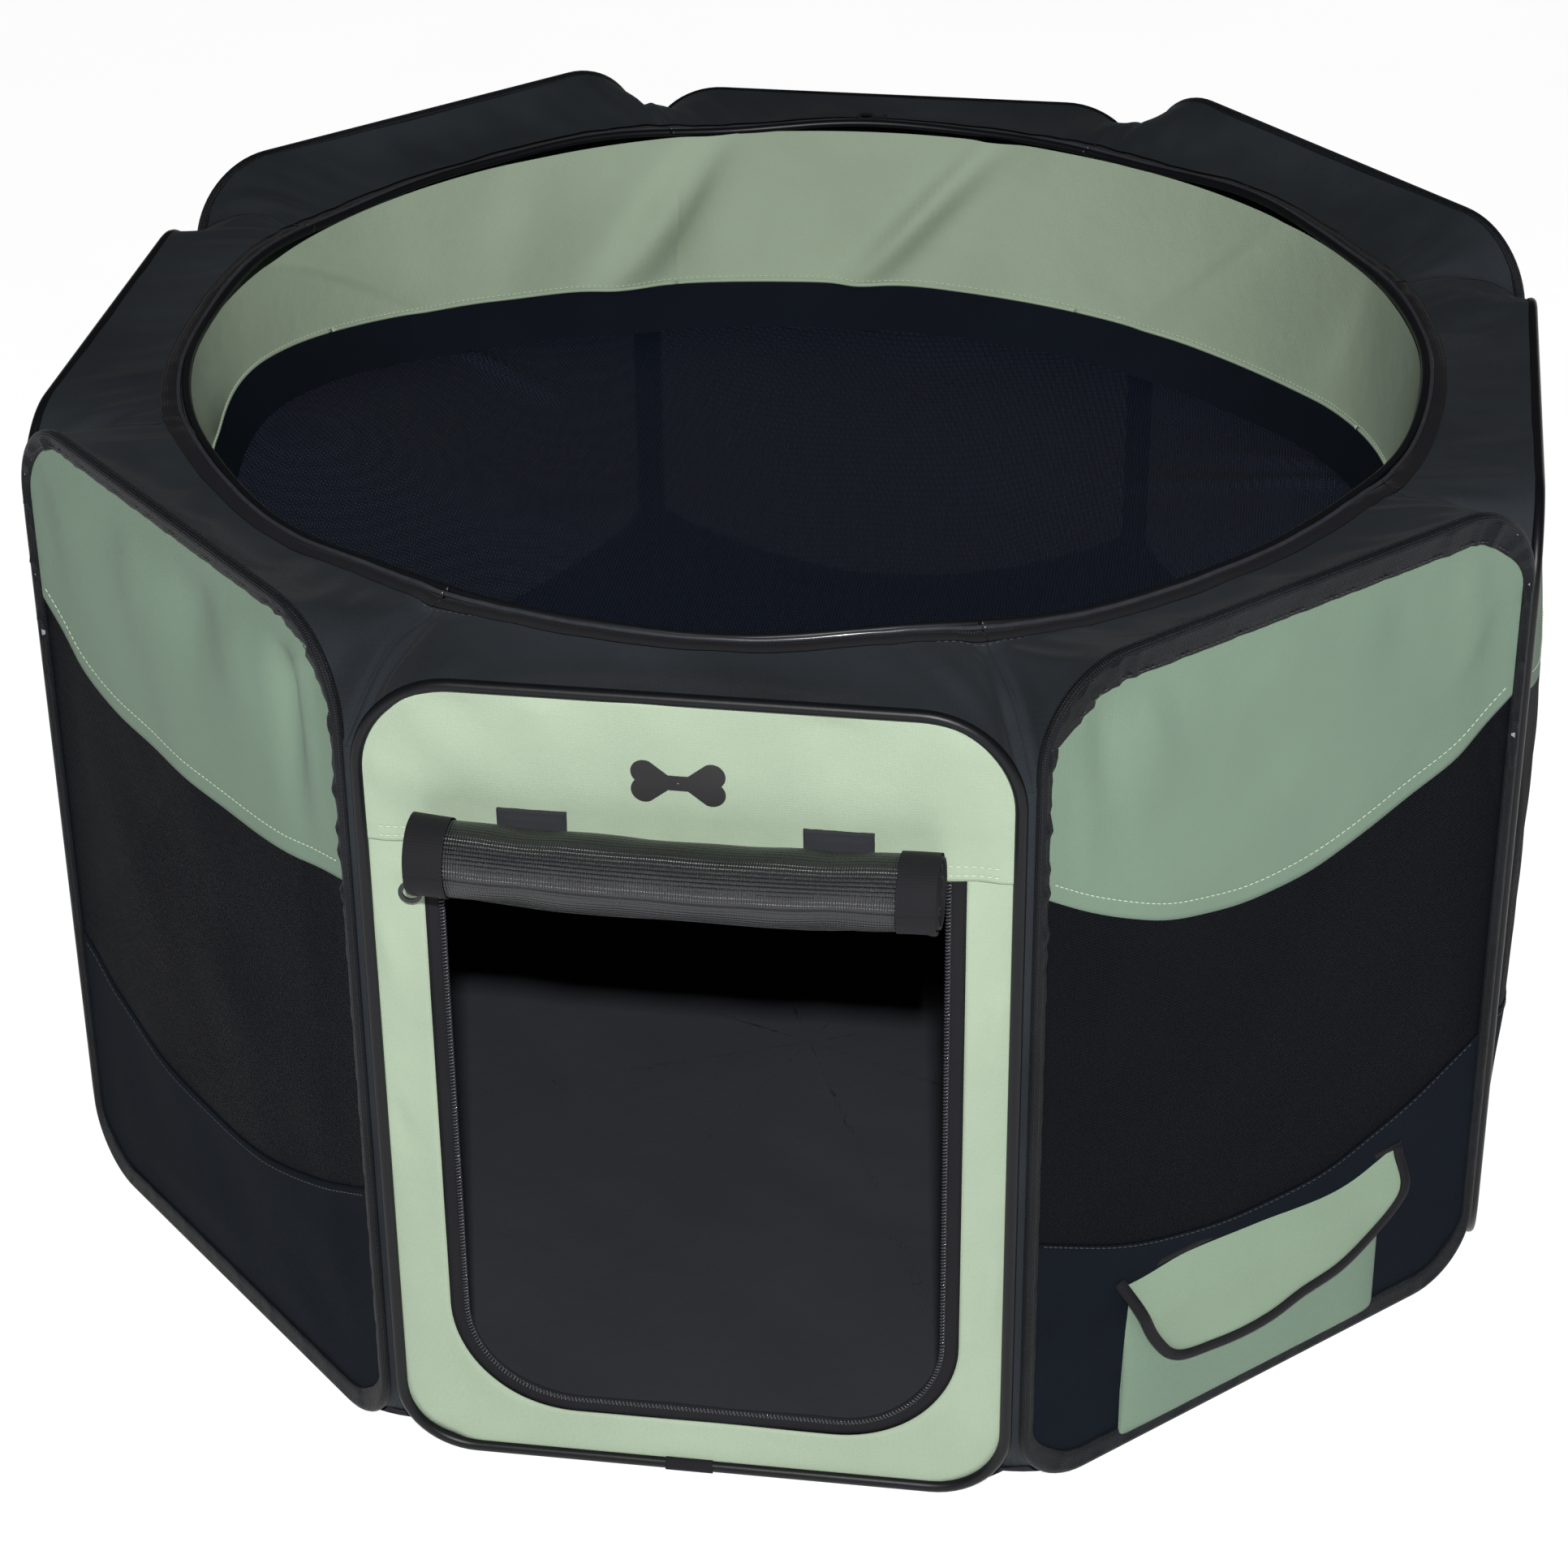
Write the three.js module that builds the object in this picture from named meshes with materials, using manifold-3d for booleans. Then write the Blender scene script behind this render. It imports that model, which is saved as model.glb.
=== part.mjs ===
// Folding octagonal pet playpen: eight spring-steel hoops dressed in fabric and mesh, joined edge to edge,
// with a collar round the open top, a floor, a roll-up door and an outside pocket.
// Millimetres, +Z up. The origin is the centre of the floor, and the door panel faces -Y.
import * as THREE from 'three';
import { mergeVertices } from 'three/addons/utils/BufferGeometryUtils.js';
import Module from 'manifold-3d';

const wasm = await Module();
wasm.setup();

// Octagon
const SIDES = 8;
const APOTHEM = 368.5;
const TURN = (2 * Math.PI) / SIDES;
const HALF_TURN = TURN / 2;
const SQUARE_HEIGHT = 432;
const DIAGONAL_HEIGHT = 450;
const PANEL_NAMES = ['front', 'front_right', 'right', 'back_right', 'back', 'back_left', 'left', 'front_left'];
const FRONT = 0;
const POCKET_PANEL = 1;
const BACK = 4;

// Hoop of spring-steel wire, its ends crimped together in a ferrule
const WIRE_RADIUS = 2.2;
const WIRE_FROM_CORNER = 5.1;
const WIRE_BASE = 3;
const HOOP_HALF_WIDTH = APOTHEM * Math.tan(HALF_TURN) - WIRE_FROM_CORNER;
const HOOP_TOP_RADIUS = 45;
const HOOP_FOOT_RADIUS = 36;
const FERRULE_RADIUS = 2.9;
const FERRULE_LENGTH = 24;

// Fabric
const FABRIC = 1.6;
const GAP = 0.3;
const CLEAR_OF_WIRE = WIRE_RADIUS + 0.35;
const CLOTH_HALF_WIDTH = HOOP_HALF_WIDTH - CLEAR_OF_WIRE;
const CLOTH_FOOT = WIRE_BASE + FERRULE_RADIUS + GAP;
const FACE = FABRIC / 2 + GAP;
const VALANCE_HEM = { end: 339, middle: 296 };
const SKIRT_SEAM = { end: 150, middle: 111 };

// Door panel
const HEADER_SEAM = 351;
const DOOR_CENTRE = 2;
const DOOR_HALF_WIDTH = 122.5;
const DOOR_SILL = 30;
const DOOR_RADIUS = 60;
const ZIP_TAPE_WIDTH = 9;
const ROLL_RADIUS = 18.5;
const ROLL_LENGTH = 234;
const ROLL_CENTRE = { u: -2, out: 22.5, z: 353.7 };
const TAB = { width: 31.5, foot: 346.5, top: 369.5, thickness: 1.4, places: [-69, 68] };
const DOOR_SLIDER = { u: -117, z: 331 };
const DOOR_PULL_LEAN = THREE.MathUtils.degToRad(52);

// Pocket on the front right panel
const POCKET = { centre: -1, width: 168, depth: 14, foot: 6.4, top: 98, wall: 1.5 };
const FLAP = { centre: 5, width: 184, seam: 105, bend: 98, hem: 48, thickness: 1.4, clearance: 0.4 };

// Collar and floor, in eight sectors
const CLEAR_OF_HOOP = 3.3;
const COLLAR_RADIUS = 314;
const COLLAR_TOP = 430;
const FLOOR_THICKNESS = 2;
const FLOOR_PAD = 10;

// Top cover, zipped to the collar: a band that hangs from the opening, a border and a net base,
// each given as radius and height along its outer face
const COVER_RIM = { radius: 313.4, z: 429.6 };
const COVER_HEM = { radius: 306, z: 338 };
const COVER_NET_EDGE = { radius: 297, z: 312 };
const COVER_CENTRE_Z = 306;
const COVER_THICKNESS = 1.2;
const COVER_STEPS = 64;

// Zip slider and pull
const SLIDER = { length: 12, width: 8, thickness: 3, earRise: 2.6, earThickness: 1.4, earLength: 3 };
const PULL = { barrel: 1.1, thickness: 1.2, neck: 5, ringRadius: 5.6, holeRadius: 3.6 };
const COLLAR_SLIDER_RADIUS = 323;

const FINISH = {
  steel: { color: 0x8d9093, roughness: 0.35, metalness: 0.9 },
  sage: { color: 0x9db59a, roughness: 0.85, metalness: 0 },
  mesh: { color: 0x14171d, roughness: 0.7, metalness: 0 },
  charcoal: { color: 0x26292d, roughness: 0.85, metalness: 0 },
  floor: { color: 0x2b2d30, roughness: 0.9, metalness: 0 },
  tape: { color: 0x1b1c1f, roughness: 0.6, metalness: 0 },
  zip: { color: 0x1a1a1c, roughness: 0.4, metalness: 0.5 },
};

function named(name, geometry, finish) {
  const mesh = new THREE.Mesh(geometry, new THREE.MeshStandardMaterial(FINISH[finish]));
  mesh.name = name;
  return mesh;
}

// Booleans

function toSolid(geometry) {
  const bare = geometry.clone();
  bare.deleteAttribute('normal');
  bare.deleteAttribute('uv');
  const merged = mergeVertices(bare, 1e-4);
  return new wasm.Manifold(new wasm.Mesh({
    numProp: 3,
    vertProperties: new Float32Array(merged.attributes.position.array),
    triVerts: new Uint32Array(merged.index.array),
  }));
}

function toGeometry(solid) {
  const mesh = solid.getMesh();
  const geometry = new THREE.BufferGeometry();
  geometry.setAttribute('position', new THREE.BufferAttribute(mesh.vertProperties, 3));
  geometry.setIndex(new THREE.BufferAttribute(mesh.triVerts, 1));
  return geometry;
}

function joined(...geometries) {
  return toGeometry(geometries.map(toSolid).reduce((whole, solid) => whole.add(solid)));
}

function cut(geometry, tool) {
  return toGeometry(toSolid(geometry).subtract(toSolid(tool)));
}

// Outlines in a panel's plane: u along the panel, z up

function hoopOutline(path, height, offset) {
  const side = HOOP_HALF_WIDTH + offset;
  const foot = WIRE_BASE - offset;
  const top = height - WIRE_BASE + offset;
  const crown = HOOP_TOP_RADIUS + offset;
  const heel = HOOP_FOOT_RADIUS + offset;
  path.moveTo(-side + heel, foot);
  path.lineTo(side - heel, foot);
  path.absarc(side - heel, foot + heel, heel, -Math.PI / 2, 0);
  path.lineTo(side, top - crown);
  path.absarc(side - crown, top - crown, crown, 0, Math.PI / 2);
  path.lineTo(-side + crown, top);
  path.absarc(-side + crown, top - crown, crown, Math.PI / 2, Math.PI);
  path.lineTo(-side, foot + heel);
  path.absarc(-side + heel, foot + heel, heel, Math.PI, 1.5 * Math.PI);
  return path;
}

function headOutline(height, hem) {
  const side = CLOTH_HALF_WIDTH;
  const crown = HOOP_TOP_RADIUS - CLEAR_OF_WIRE;
  const top = height - WIRE_BASE - CLEAR_OF_WIRE;
  const shape = new THREE.Shape();
  shape.moveTo(-side, hem.end);
  shape.quadraticCurveTo(0, 2 * hem.middle - hem.end, side, hem.end);
  shape.lineTo(side, top - crown);
  shape.absarc(side - crown, top - crown, crown, 0, Math.PI / 2);
  shape.lineTo(-side + crown, top);
  shape.absarc(-side + crown, top - crown, crown, Math.PI / 2, Math.PI);
  return shape;
}

function windowOutline(hem, seam) {
  const side = CLOTH_HALF_WIDTH;
  const shape = new THREE.Shape();
  shape.moveTo(-side, seam.end + GAP);
  shape.quadraticCurveTo(0, 2 * seam.middle - seam.end + GAP, side, seam.end + GAP);
  shape.lineTo(side, hem.end - GAP);
  shape.quadraticCurveTo(0, 2 * hem.middle - hem.end - GAP, -side, hem.end - GAP);
  return shape;
}

function footOutline(topEdge) {
  const side = CLOTH_HALF_WIDTH;
  const heel = HOOP_FOOT_RADIUS - CLEAR_OF_WIRE;
  const foot = CLOTH_FOOT;
  const shape = new THREE.Shape();
  shape.moveTo(-side + heel, foot);
  shape.lineTo(side - heel, foot);
  shape.absarc(side - heel, foot + heel, heel, -Math.PI / 2, 0);
  topEdge(shape, side);
  shape.lineTo(-side, foot + heel);
  shape.absarc(-side + heel, foot + heel, heel, Math.PI, 1.5 * Math.PI);
  return shape;
}

function doorway(path, inset, top, clockwise) {
  const left = DOOR_CENTRE - DOOR_HALF_WIDTH + inset;
  const right = DOOR_CENTRE + DOOR_HALF_WIDTH - inset;
  const sill = DOOR_SILL + inset;
  const radius = DOOR_RADIUS - inset;
  if (clockwise) {
    path.lineTo(right, top);
    path.lineTo(right, sill + radius);
    path.absarc(right - radius, sill + radius, radius, 0, -Math.PI / 2, true);
    path.absarc(left + radius, sill + radius, radius, -Math.PI / 2, -Math.PI, true);
    path.lineTo(left, top);
  } else {
    path.lineTo(left, top);
    path.lineTo(left, sill + radius);
    path.absarc(left + radius, sill + radius, radius, Math.PI, 1.5 * Math.PI);
    path.absarc(right - radius, sill + radius, radius, 1.5 * Math.PI, 2 * Math.PI);
    path.lineTo(right, top);
  }
  return path;
}

// Placing: an upright plate in a panel's plane, and a section swept along u

const CURVE_STEPS = 7;

function upright(name, shape, finish, thickness, outward) {
  const geometry = new THREE.ExtrudeGeometry(shape, { depth: thickness, bevelEnabled: false, curveSegments: CURVE_STEPS });
  const mesh = named(name, geometry, finish);
  mesh.rotation.x = Math.PI / 2;
  mesh.position.y = thickness - outward;
  return mesh;
}

function panelCloth(name, shape, finish) {
  return upright(name, shape, finish, FABRIC, FABRIC / 2);
}

// Frame

function makeHoop(name, height) {
  const flat = WIRE_RADIUS * Math.tan(Math.PI / 8);
  const chamfer = WIRE_RADIUS - flat;
  const ring = hoopOutline(new THREE.Shape(), height, flat);
  ring.holes.push(hoopOutline(new THREE.Path(), height, -flat));
  const wire = new THREE.ExtrudeGeometry(ring, {
    depth: 2 * flat,
    bevelThickness: chamfer,
    bevelSize: chamfer,
    bevelSegments: 1,
    curveSegments: CURVE_STEPS,
  });
  wire.translate(0, 0, -flat);
  const ferrule = new THREE.CylinderGeometry(FERRULE_RADIUS, FERRULE_RADIUS, FERRULE_LENGTH, 12);
  ferrule.rotateZ(Math.PI / 2).translate(0, WIRE_BASE, 0);
  const mesh = named(name, joined(wire, ferrule), 'steel');
  mesh.rotation.x = Math.PI / 2;
  return mesh;
}

// Cloth of a plain panel: green valance, mesh window, dark skirt

function makeValance(name, height) {
  return panelCloth(name, headOutline(height, VALANCE_HEM), 'sage');
}

function makeWindow(name) {
  return panelCloth(name, windowOutline(VALANCE_HEM, SKIRT_SEAM), 'mesh');
}

function makeSkirt(name) {
  const seam = footOutline((shape, side) => {
    shape.lineTo(side, SKIRT_SEAM.end);
    shape.quadraticCurveTo(0, 2 * SKIRT_SEAM.middle - SKIRT_SEAM.end, -side, SKIRT_SEAM.end);
  });
  return panelCloth(name, seam, 'charcoal');
}

// Door panel

function makeHeader() {
  const level = { end: HEADER_SEAM, middle: HEADER_SEAM };
  return panelCloth('door_header', headOutline(SQUARE_HEIGHT, level), 'sage');
}

function makeSurround() {
  const top = HEADER_SEAM - GAP;
  const shape = footOutline((path, side) => {
    path.lineTo(side, top);
    doorway(path, 0, top, true);
    path.lineTo(-side, top);
  });
  return panelCloth('door_surround', shape, 'sage');
}

function makeZipTape() {
  const top = HEADER_SEAM - GAP;
  const shape = new THREE.Shape();
  shape.moveTo(DOOR_CENTRE - DOOR_HALF_WIDTH + GAP, top);
  doorway(shape, GAP, top, false);
  doorway(shape, ZIP_TAPE_WIDTH, top, true);
  return panelCloth('door_zip_tape', shape, 'tape');
}

function makeRoll() {
  const geometry = new THREE.CylinderGeometry(ROLL_RADIUS, ROLL_RADIUS, ROLL_LENGTH, 24);
  const mesh = named('door_roll', geometry, 'mesh');
  mesh.rotation.z = Math.PI / 2;
  mesh.position.set(ROLL_CENTRE.u, -ROLL_CENTRE.out, ROLL_CENTRE.z);
  return mesh;
}

function makeTab(name, u) {
  const shape = new THREE.Shape();
  const half = TAB.width / 2;
  shape.moveTo(u - half, TAB.foot);
  shape.lineTo(u + half, TAB.foot);
  shape.lineTo(u + half, TAB.top);
  shape.lineTo(u - half, TAB.top);
  return upright(name, shape, 'tape', TAB.thickness, FACE + TAB.thickness);
}

// Pocket

function makePocketBag() {
  const { width, depth, foot, top, wall } = POCKET;
  const height = top - foot;
  const outside = new THREE.BoxGeometry(width, depth, height);
  const hollow = new THREE.BoxGeometry(width - 2 * wall, depth - 2 * wall, height);
  hollow.translate(0, 0, wall);
  const mesh = named('pocket_bag', cut(outside, hollow), 'sage');
  mesh.position.set(POCKET.centre, -FACE - depth / 2, foot + height / 2);
  return mesh;
}

function makePocketFlap() {
  const inner = -(FACE + POCKET.depth + FLAP.clearance);
  const outer = inner - FLAP.thickness;
  const shape = new THREE.Shape();
  shape.moveTo(-FACE, FLAP.seam);
  shape.quadraticCurveTo(outer, FLAP.seam, outer, FLAP.bend);
  shape.lineTo(outer, FLAP.hem);
  shape.lineTo(inner, FLAP.hem);
  shape.lineTo(inner, FLAP.bend);
  shape.quadraticCurveTo(inner, FLAP.seam - FLAP.thickness, -FACE, FLAP.seam - FLAP.thickness);
  const geometry = new THREE.ExtrudeGeometry(shape, {
    depth: FLAP.width,
    bevelEnabled: false,
    curveSegments: CURVE_STEPS,
  });
  geometry.rotateX(Math.PI / 2).rotateZ(Math.PI / 2);
  const mesh = named('pocket_flap', geometry, 'sage');
  mesh.position.x = FLAP.centre - FLAP.width / 2;
  return mesh;
}

// Collar and floor sectors, drawn in plan with the octagon's centre at (0, APOTHEM)

function makeCollar(name) {
  const edge = (APOTHEM - CLEAR_OF_HOOP) * Math.tan(HALF_TURN) - GAP / 2;
  const sweep = HALF_TURN - GAP / 2 / COLLAR_RADIUS;
  const shape = new THREE.Shape();
  shape.moveTo(-edge, CLEAR_OF_HOOP);
  shape.lineTo(edge, CLEAR_OF_HOOP);
  shape.absarc(0, APOTHEM, COLLAR_RADIUS, -Math.PI / 2 + sweep, -Math.PI / 2 - sweep, true);
  const geometry = new THREE.ExtrudeGeometry(shape, { depth: FABRIC, bevelEnabled: false, curveSegments: 10 });
  const mesh = named(name, geometry, 'charcoal');
  mesh.position.z = COLLAR_TOP - FABRIC;
  return mesh;
}

function makeFloor(name, hasPad) {
  const slope = Math.tan(HALF_TURN);
  const inner = FLOOR_PAD + (hasPad ? 0 : GAP);
  const edge = (APOTHEM - CLEAR_OF_HOOP) * slope - GAP / 2;
  const shape = new THREE.Shape();
  shape.moveTo(-edge, CLEAR_OF_HOOP);
  shape.lineTo(edge, CLEAR_OF_HOOP);
  shape.lineTo(inner * slope - GAP / 2, APOTHEM - inner);
  if (hasPad) {
    const corner = FLOOR_PAD / Math.cos(HALF_TURN);
    for (let step = 0; step < SIDES; step += 1) {
      const angle = -Math.PI / 2 + HALF_TURN + step * TURN;
      shape.lineTo(corner * Math.cos(angle), APOTHEM + corner * Math.sin(angle));
    }
  }
  shape.lineTo(-inner * slope + GAP / 2, APOTHEM - inner);
  const geometry = new THREE.ExtrudeGeometry(shape, { depth: FLOOR_THICKNESS, bevelEnabled: false });
  return named(name, geometry, 'floor');
}

// Top cover, turned about the pen's axis from its outline in radius and height

function makeRound(name, outline, finish) {
  return named(name, toGeometry(wasm.Manifold.revolve([outline], COVER_STEPS)), finish);
}

function makeCoverBand() {
  return makeRound('cover_band', [
    [COVER_RIM.radius - COVER_THICKNESS, COVER_RIM.z],
    [COVER_HEM.radius - COVER_THICKNESS, COVER_HEM.z + GAP],
    [COVER_HEM.radius, COVER_HEM.z + GAP],
    [COVER_RIM.radius, COVER_RIM.z],
  ], 'sage');
}

function makeCoverNet() {
  return makeRound('cover_net', [
    [0, COVER_CENTRE_Z],
    [COVER_NET_EDGE.radius, COVER_NET_EDGE.z],
    [COVER_HEM.radius, COVER_HEM.z],
    [COVER_HEM.radius - COVER_THICKNESS, COVER_HEM.z],
    [COVER_NET_EDGE.radius - COVER_THICKNESS, COVER_NET_EDGE.z + COVER_THICKNESS],
    [0, COVER_CENTRE_Z + COVER_THICKNESS],
  ], 'mesh');
}

// Zip sliders: x along the zip, y across it, z away from the cloth. The pull turns between two ears.

function makeSlider(name, lean) {
  const { length, width, thickness, earRise, earThickness, earLength } = SLIDER;
  const outline = new THREE.Shape();
  outline.moveTo(-length / 2, -width / 3);
  outline.lineTo(-length / 4, -width / 2);
  outline.lineTo(length / 2, -width / 3);
  outline.lineTo(length / 2, width / 3);
  outline.lineTo(-length / 4, width / 2);
  outline.lineTo(-length / 2, width / 3);
  const base = new THREE.ExtrudeGeometry(outline, { depth: thickness, bevelEnabled: false });
  const ears = [-1, 1].map((side) => {
    const ear = new THREE.BoxGeometry(earLength, earThickness, earRise + thickness);
    const across = PULL.barrel + GAP + earThickness / 2;
    return ear.translate(0, side * across, (earRise + thickness) / 2).rotateZ(lean);
  });
  return named(name, joined(base, ...ears), 'zip');
}

function makePull(name, lean) {
  const { barrel, thickness, neck, ringRadius, holeRadius } = PULL;
  const middle = neck + ringRadius;
  const outline = new THREE.Shape();
  outline.moveTo(0, -barrel);
  outline.lineTo(neck, -barrel);
  outline.absarc(middle, 0, ringRadius, Math.PI + 0.35, Math.PI - 0.35);
  outline.lineTo(0, barrel);
  outline.holes.push(new THREE.Path().absarc(middle, 0, holeRadius, 0, 2 * Math.PI, true));
  const plate = new THREE.ExtrudeGeometry(outline, { depth: thickness, bevelEnabled: false, curveSegments: 16 });
  plate.translate(0, 0, -thickness / 2);
  const hub = new THREE.CylinderGeometry(barrel, barrel, 2 * barrel, 10);
  return named(name, joined(plate, hub).rotateZ(lean), 'zip');
}

const PULL_HEIGHT = SLIDER.thickness + SLIDER.earRise - PULL.barrel;

function makeSliderPair(prefix, lean) {
  const group = new THREE.Group();
  const pull = makePull(`${prefix}_pull`, lean);
  pull.position.z = PULL_HEIGHT;
  group.add(makeSlider(`${prefix}_slider`, lean), pull);
  return group;
}

// Assembly

function panelFrame(index) {
  const turned = new THREE.Group();
  turned.rotation.z = index * TURN;
  const plane = new THREE.Group();
  plane.position.y = -APOTHEM;
  turned.add(plane);
  return { turned, plane };
}

function addPlainCloth(plane, label, height) {
  plane.add(makeValance(`valance_${label}`, height));
  plane.add(makeWindow(`window_${label}`));
  plane.add(makeSkirt(`skirt_${label}`));
}

function addDoor(plane) {
  plane.add(makeHeader(), makeSurround(), makeZipTape(), makeRoll());
  plane.add(makeTab('roll_tab_left', TAB.places[0]));
  plane.add(makeTab('roll_tab_right', TAB.places[1]));
  const zip = makeSliderPair('door', -DOOR_PULL_LEAN);
  const down = new THREE.Vector3(0, 0, -1);
  const across = new THREE.Vector3(1, 0, 0);
  const outward = new THREE.Vector3(0, -1, 0);
  zip.setRotationFromMatrix(new THREE.Matrix4().makeBasis(down, across, outward));
  zip.position.set(DOOR_SLIDER.u, -FACE, DOOR_SLIDER.z);
  plane.add(zip);
}

const playpen = new THREE.Group();
PANEL_NAMES.forEach((label, index) => {
  const { turned, plane } = panelFrame(index);
  const height = index % 2 === 0 ? SQUARE_HEIGHT : DIAGONAL_HEIGHT;
  plane.add(makeHoop(`hoop_${label}`, height));
  plane.add(makeCollar(`collar_${label}`));
  plane.add(makeFloor(`floor_${label}`, index === FRONT));
  if (index === FRONT) addDoor(plane);
  else addPlainCloth(plane, label, height);
  if (index === POCKET_PANEL) plane.add(makePocketBag(), makePocketFlap());
  if (index === BACK) {
    const zip = makeSliderPair('collar', 0);
    zip.position.set(0, APOTHEM - COLLAR_SLIDER_RADIUS, COLLAR_TOP + GAP);
    plane.add(zip);
  }
  playpen.add(turned);
});
playpen.add(makeCoverBand(), makeCoverNet());

export default playpen;
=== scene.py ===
# %% [markdown]
# # A folding pet playpen, built in cells
# The pen is an octagon of eight sprung wire hoops. Each hoop wears a fabric panel, a collar with a round
# opening covers the top, and a floor cloth closes the bottom. The frame that moves was made elsewhere and is
# loaded here as it is. Everything soft is made in this file, because cloth needs curved meshes and finishes
# that a plain solid can't give. All sizes are in metres.

# %% Load the frame
import math
import random

import bpy
import numpy as np
from mathutils import Matrix, Vector


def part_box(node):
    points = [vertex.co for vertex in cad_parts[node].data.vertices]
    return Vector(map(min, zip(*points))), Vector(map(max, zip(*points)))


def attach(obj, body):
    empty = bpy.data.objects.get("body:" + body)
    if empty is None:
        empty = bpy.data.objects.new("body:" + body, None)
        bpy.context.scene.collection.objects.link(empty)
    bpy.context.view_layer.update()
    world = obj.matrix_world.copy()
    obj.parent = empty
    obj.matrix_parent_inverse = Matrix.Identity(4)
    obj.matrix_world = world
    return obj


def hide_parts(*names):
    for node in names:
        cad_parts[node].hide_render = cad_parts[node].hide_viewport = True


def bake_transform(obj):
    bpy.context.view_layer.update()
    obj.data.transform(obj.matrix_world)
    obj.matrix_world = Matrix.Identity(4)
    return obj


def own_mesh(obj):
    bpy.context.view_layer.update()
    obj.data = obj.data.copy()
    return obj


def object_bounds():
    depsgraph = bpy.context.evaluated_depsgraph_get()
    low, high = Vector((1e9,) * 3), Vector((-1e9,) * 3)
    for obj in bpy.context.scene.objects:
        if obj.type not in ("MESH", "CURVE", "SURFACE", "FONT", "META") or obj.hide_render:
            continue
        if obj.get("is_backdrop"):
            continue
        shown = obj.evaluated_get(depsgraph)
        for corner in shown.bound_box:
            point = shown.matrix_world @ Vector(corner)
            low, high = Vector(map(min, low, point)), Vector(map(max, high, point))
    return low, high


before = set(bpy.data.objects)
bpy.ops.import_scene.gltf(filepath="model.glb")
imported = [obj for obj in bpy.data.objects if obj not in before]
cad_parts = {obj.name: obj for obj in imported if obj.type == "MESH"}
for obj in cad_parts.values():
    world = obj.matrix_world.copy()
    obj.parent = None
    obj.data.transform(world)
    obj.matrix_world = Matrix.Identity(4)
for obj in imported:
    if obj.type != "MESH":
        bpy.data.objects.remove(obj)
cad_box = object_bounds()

# %% [markdown]
# ## Where the panels stand
# All eight panels are the same thing turned by an eighth of a circle, so every shape is worked out once in a
# panel's own measures: u runs along the panel, out points away from the pen and z is the height. One helper
# turns those into the pen's frame. The driving sizes are read from the frame's own boxes.

# %% Panel measures
SIDES = 8
TURN = math.tau / SIDES
HALF = TURN / 2
NAMES = ["front", "front_right", "right", "back_right", "back", "back_left", "left", "front_left"]
FRONT, POCKET_SIDE = 0, 1

hoop_low, hoop_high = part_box("hoop_front")
tall_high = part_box("hoop_front_right")[1]
WIRE_OUT = 0.0022
WIRE_FOOT = 0.003
APOTHEM = -(hoop_low.y + hoop_high.y) / 2
HOOP_SIDE = hoop_high.x - WIRE_OUT
CROWN = 0.045
HEEL = 0.036
CORNER = APOTHEM * math.tan(HALF)
HEM_END, HEM_MIDDLE = 0.339, 0.296
SEAM_END, SEAM_MIDDLE = 0.150, 0.111


def wire_top(k):
    """Height of the wire's centre line along the top of panel k."""
    return (hoop_high.z if k % 2 == 0 else tall_high.z) - WIRE_OUT


def place(k, u, out, z):
    """Points given along, away from and up panel k, in the pen's frame."""
    u, out, z = np.broadcast_arrays(np.asarray(u, float), np.asarray(out, float), np.asarray(z, float))
    away = -(APOTHEM + out)
    c, s = math.cos(k * TURN), math.sin(k * TURN)
    return np.stack([c * u - s * away, s * u + c * away, z], axis=-1)


def outward(k):
    """The direction that panel k faces."""
    return Vector((math.sin(k * TURN), -math.cos(k * TURN), 0))


print(f"apothem {APOTHEM:.4f}, hoop half width {HOOP_SIDE:.4f}, tops {wire_top(0):.4f} and {wire_top(1):.4f}")

# %% [markdown]
# ## Mesh helpers
# Cloth is a grid of points: rows go up and columns go along. Piping, tape and cord are a small section swept
# along a path. Both give clean quads, and both can carry a UV map in real metres, so that a weave keeps its
# true size on every piece.

# %% Mesh helpers
def quads(rows, columns, round_columns=False, round_rows=False):
    """The faces of a grid, wound so that they face away from the pen."""
    r = np.arange(rows if round_rows else rows - 1)
    c = np.arange(columns if round_columns else columns - 1)
    r, c = np.meshgrid(r, c, indexing="ij")
    r2, c2 = (r + 1) % rows, (c + 1) % columns
    faces = np.stack([r * columns + c, r * columns + c2, r2 * columns + c2, r2 * columns + c], axis=-1)
    return faces.reshape(-1, 4)


def mesh_piece(name, points, faces, material, uv=None, smooth=True):
    """A new object from points, faces and, for each point, its place on the cloth in metres."""
    mesh = bpy.data.meshes.new(name)
    mesh.from_pydata(np.asarray(points).reshape(-1, 3).tolist(), [], [list(map(int, f)) for f in faces])
    if uv is not None:
        flat = np.asarray(uv, float).reshape(-1, 2)
        layer = mesh.uv_layers.new(name="cloth")
        at = np.empty(len(mesh.loops), int)
        mesh.loops.foreach_get("vertex_index", at)
        layer.data.foreach_set("uv", flat[at].ravel())
    if smooth:
        mesh.polygons.foreach_set("use_smooth", [True] * len(mesh.polygons))
    mesh.materials.append(material)
    mesh.validate()
    piece = bpy.data.objects.new(name, mesh)
    bpy.context.scene.collection.objects.link(piece)
    return piece


def grid_piece(name, points, material, uv, thickness=0.0):
    """A sheet from a grid of points; a thickness gives it two faces and an edge."""
    rows, columns = points.shape[:2]
    piece = mesh_piece(name, points, quads(rows, columns), material, uv)
    if thickness:
        solid = piece.modifiers.new("cloth thickness", "SOLIDIFY")
        solid.thickness = thickness
        solid.offset = -1.0
        solid.use_even_offset = False
    return piece


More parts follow.
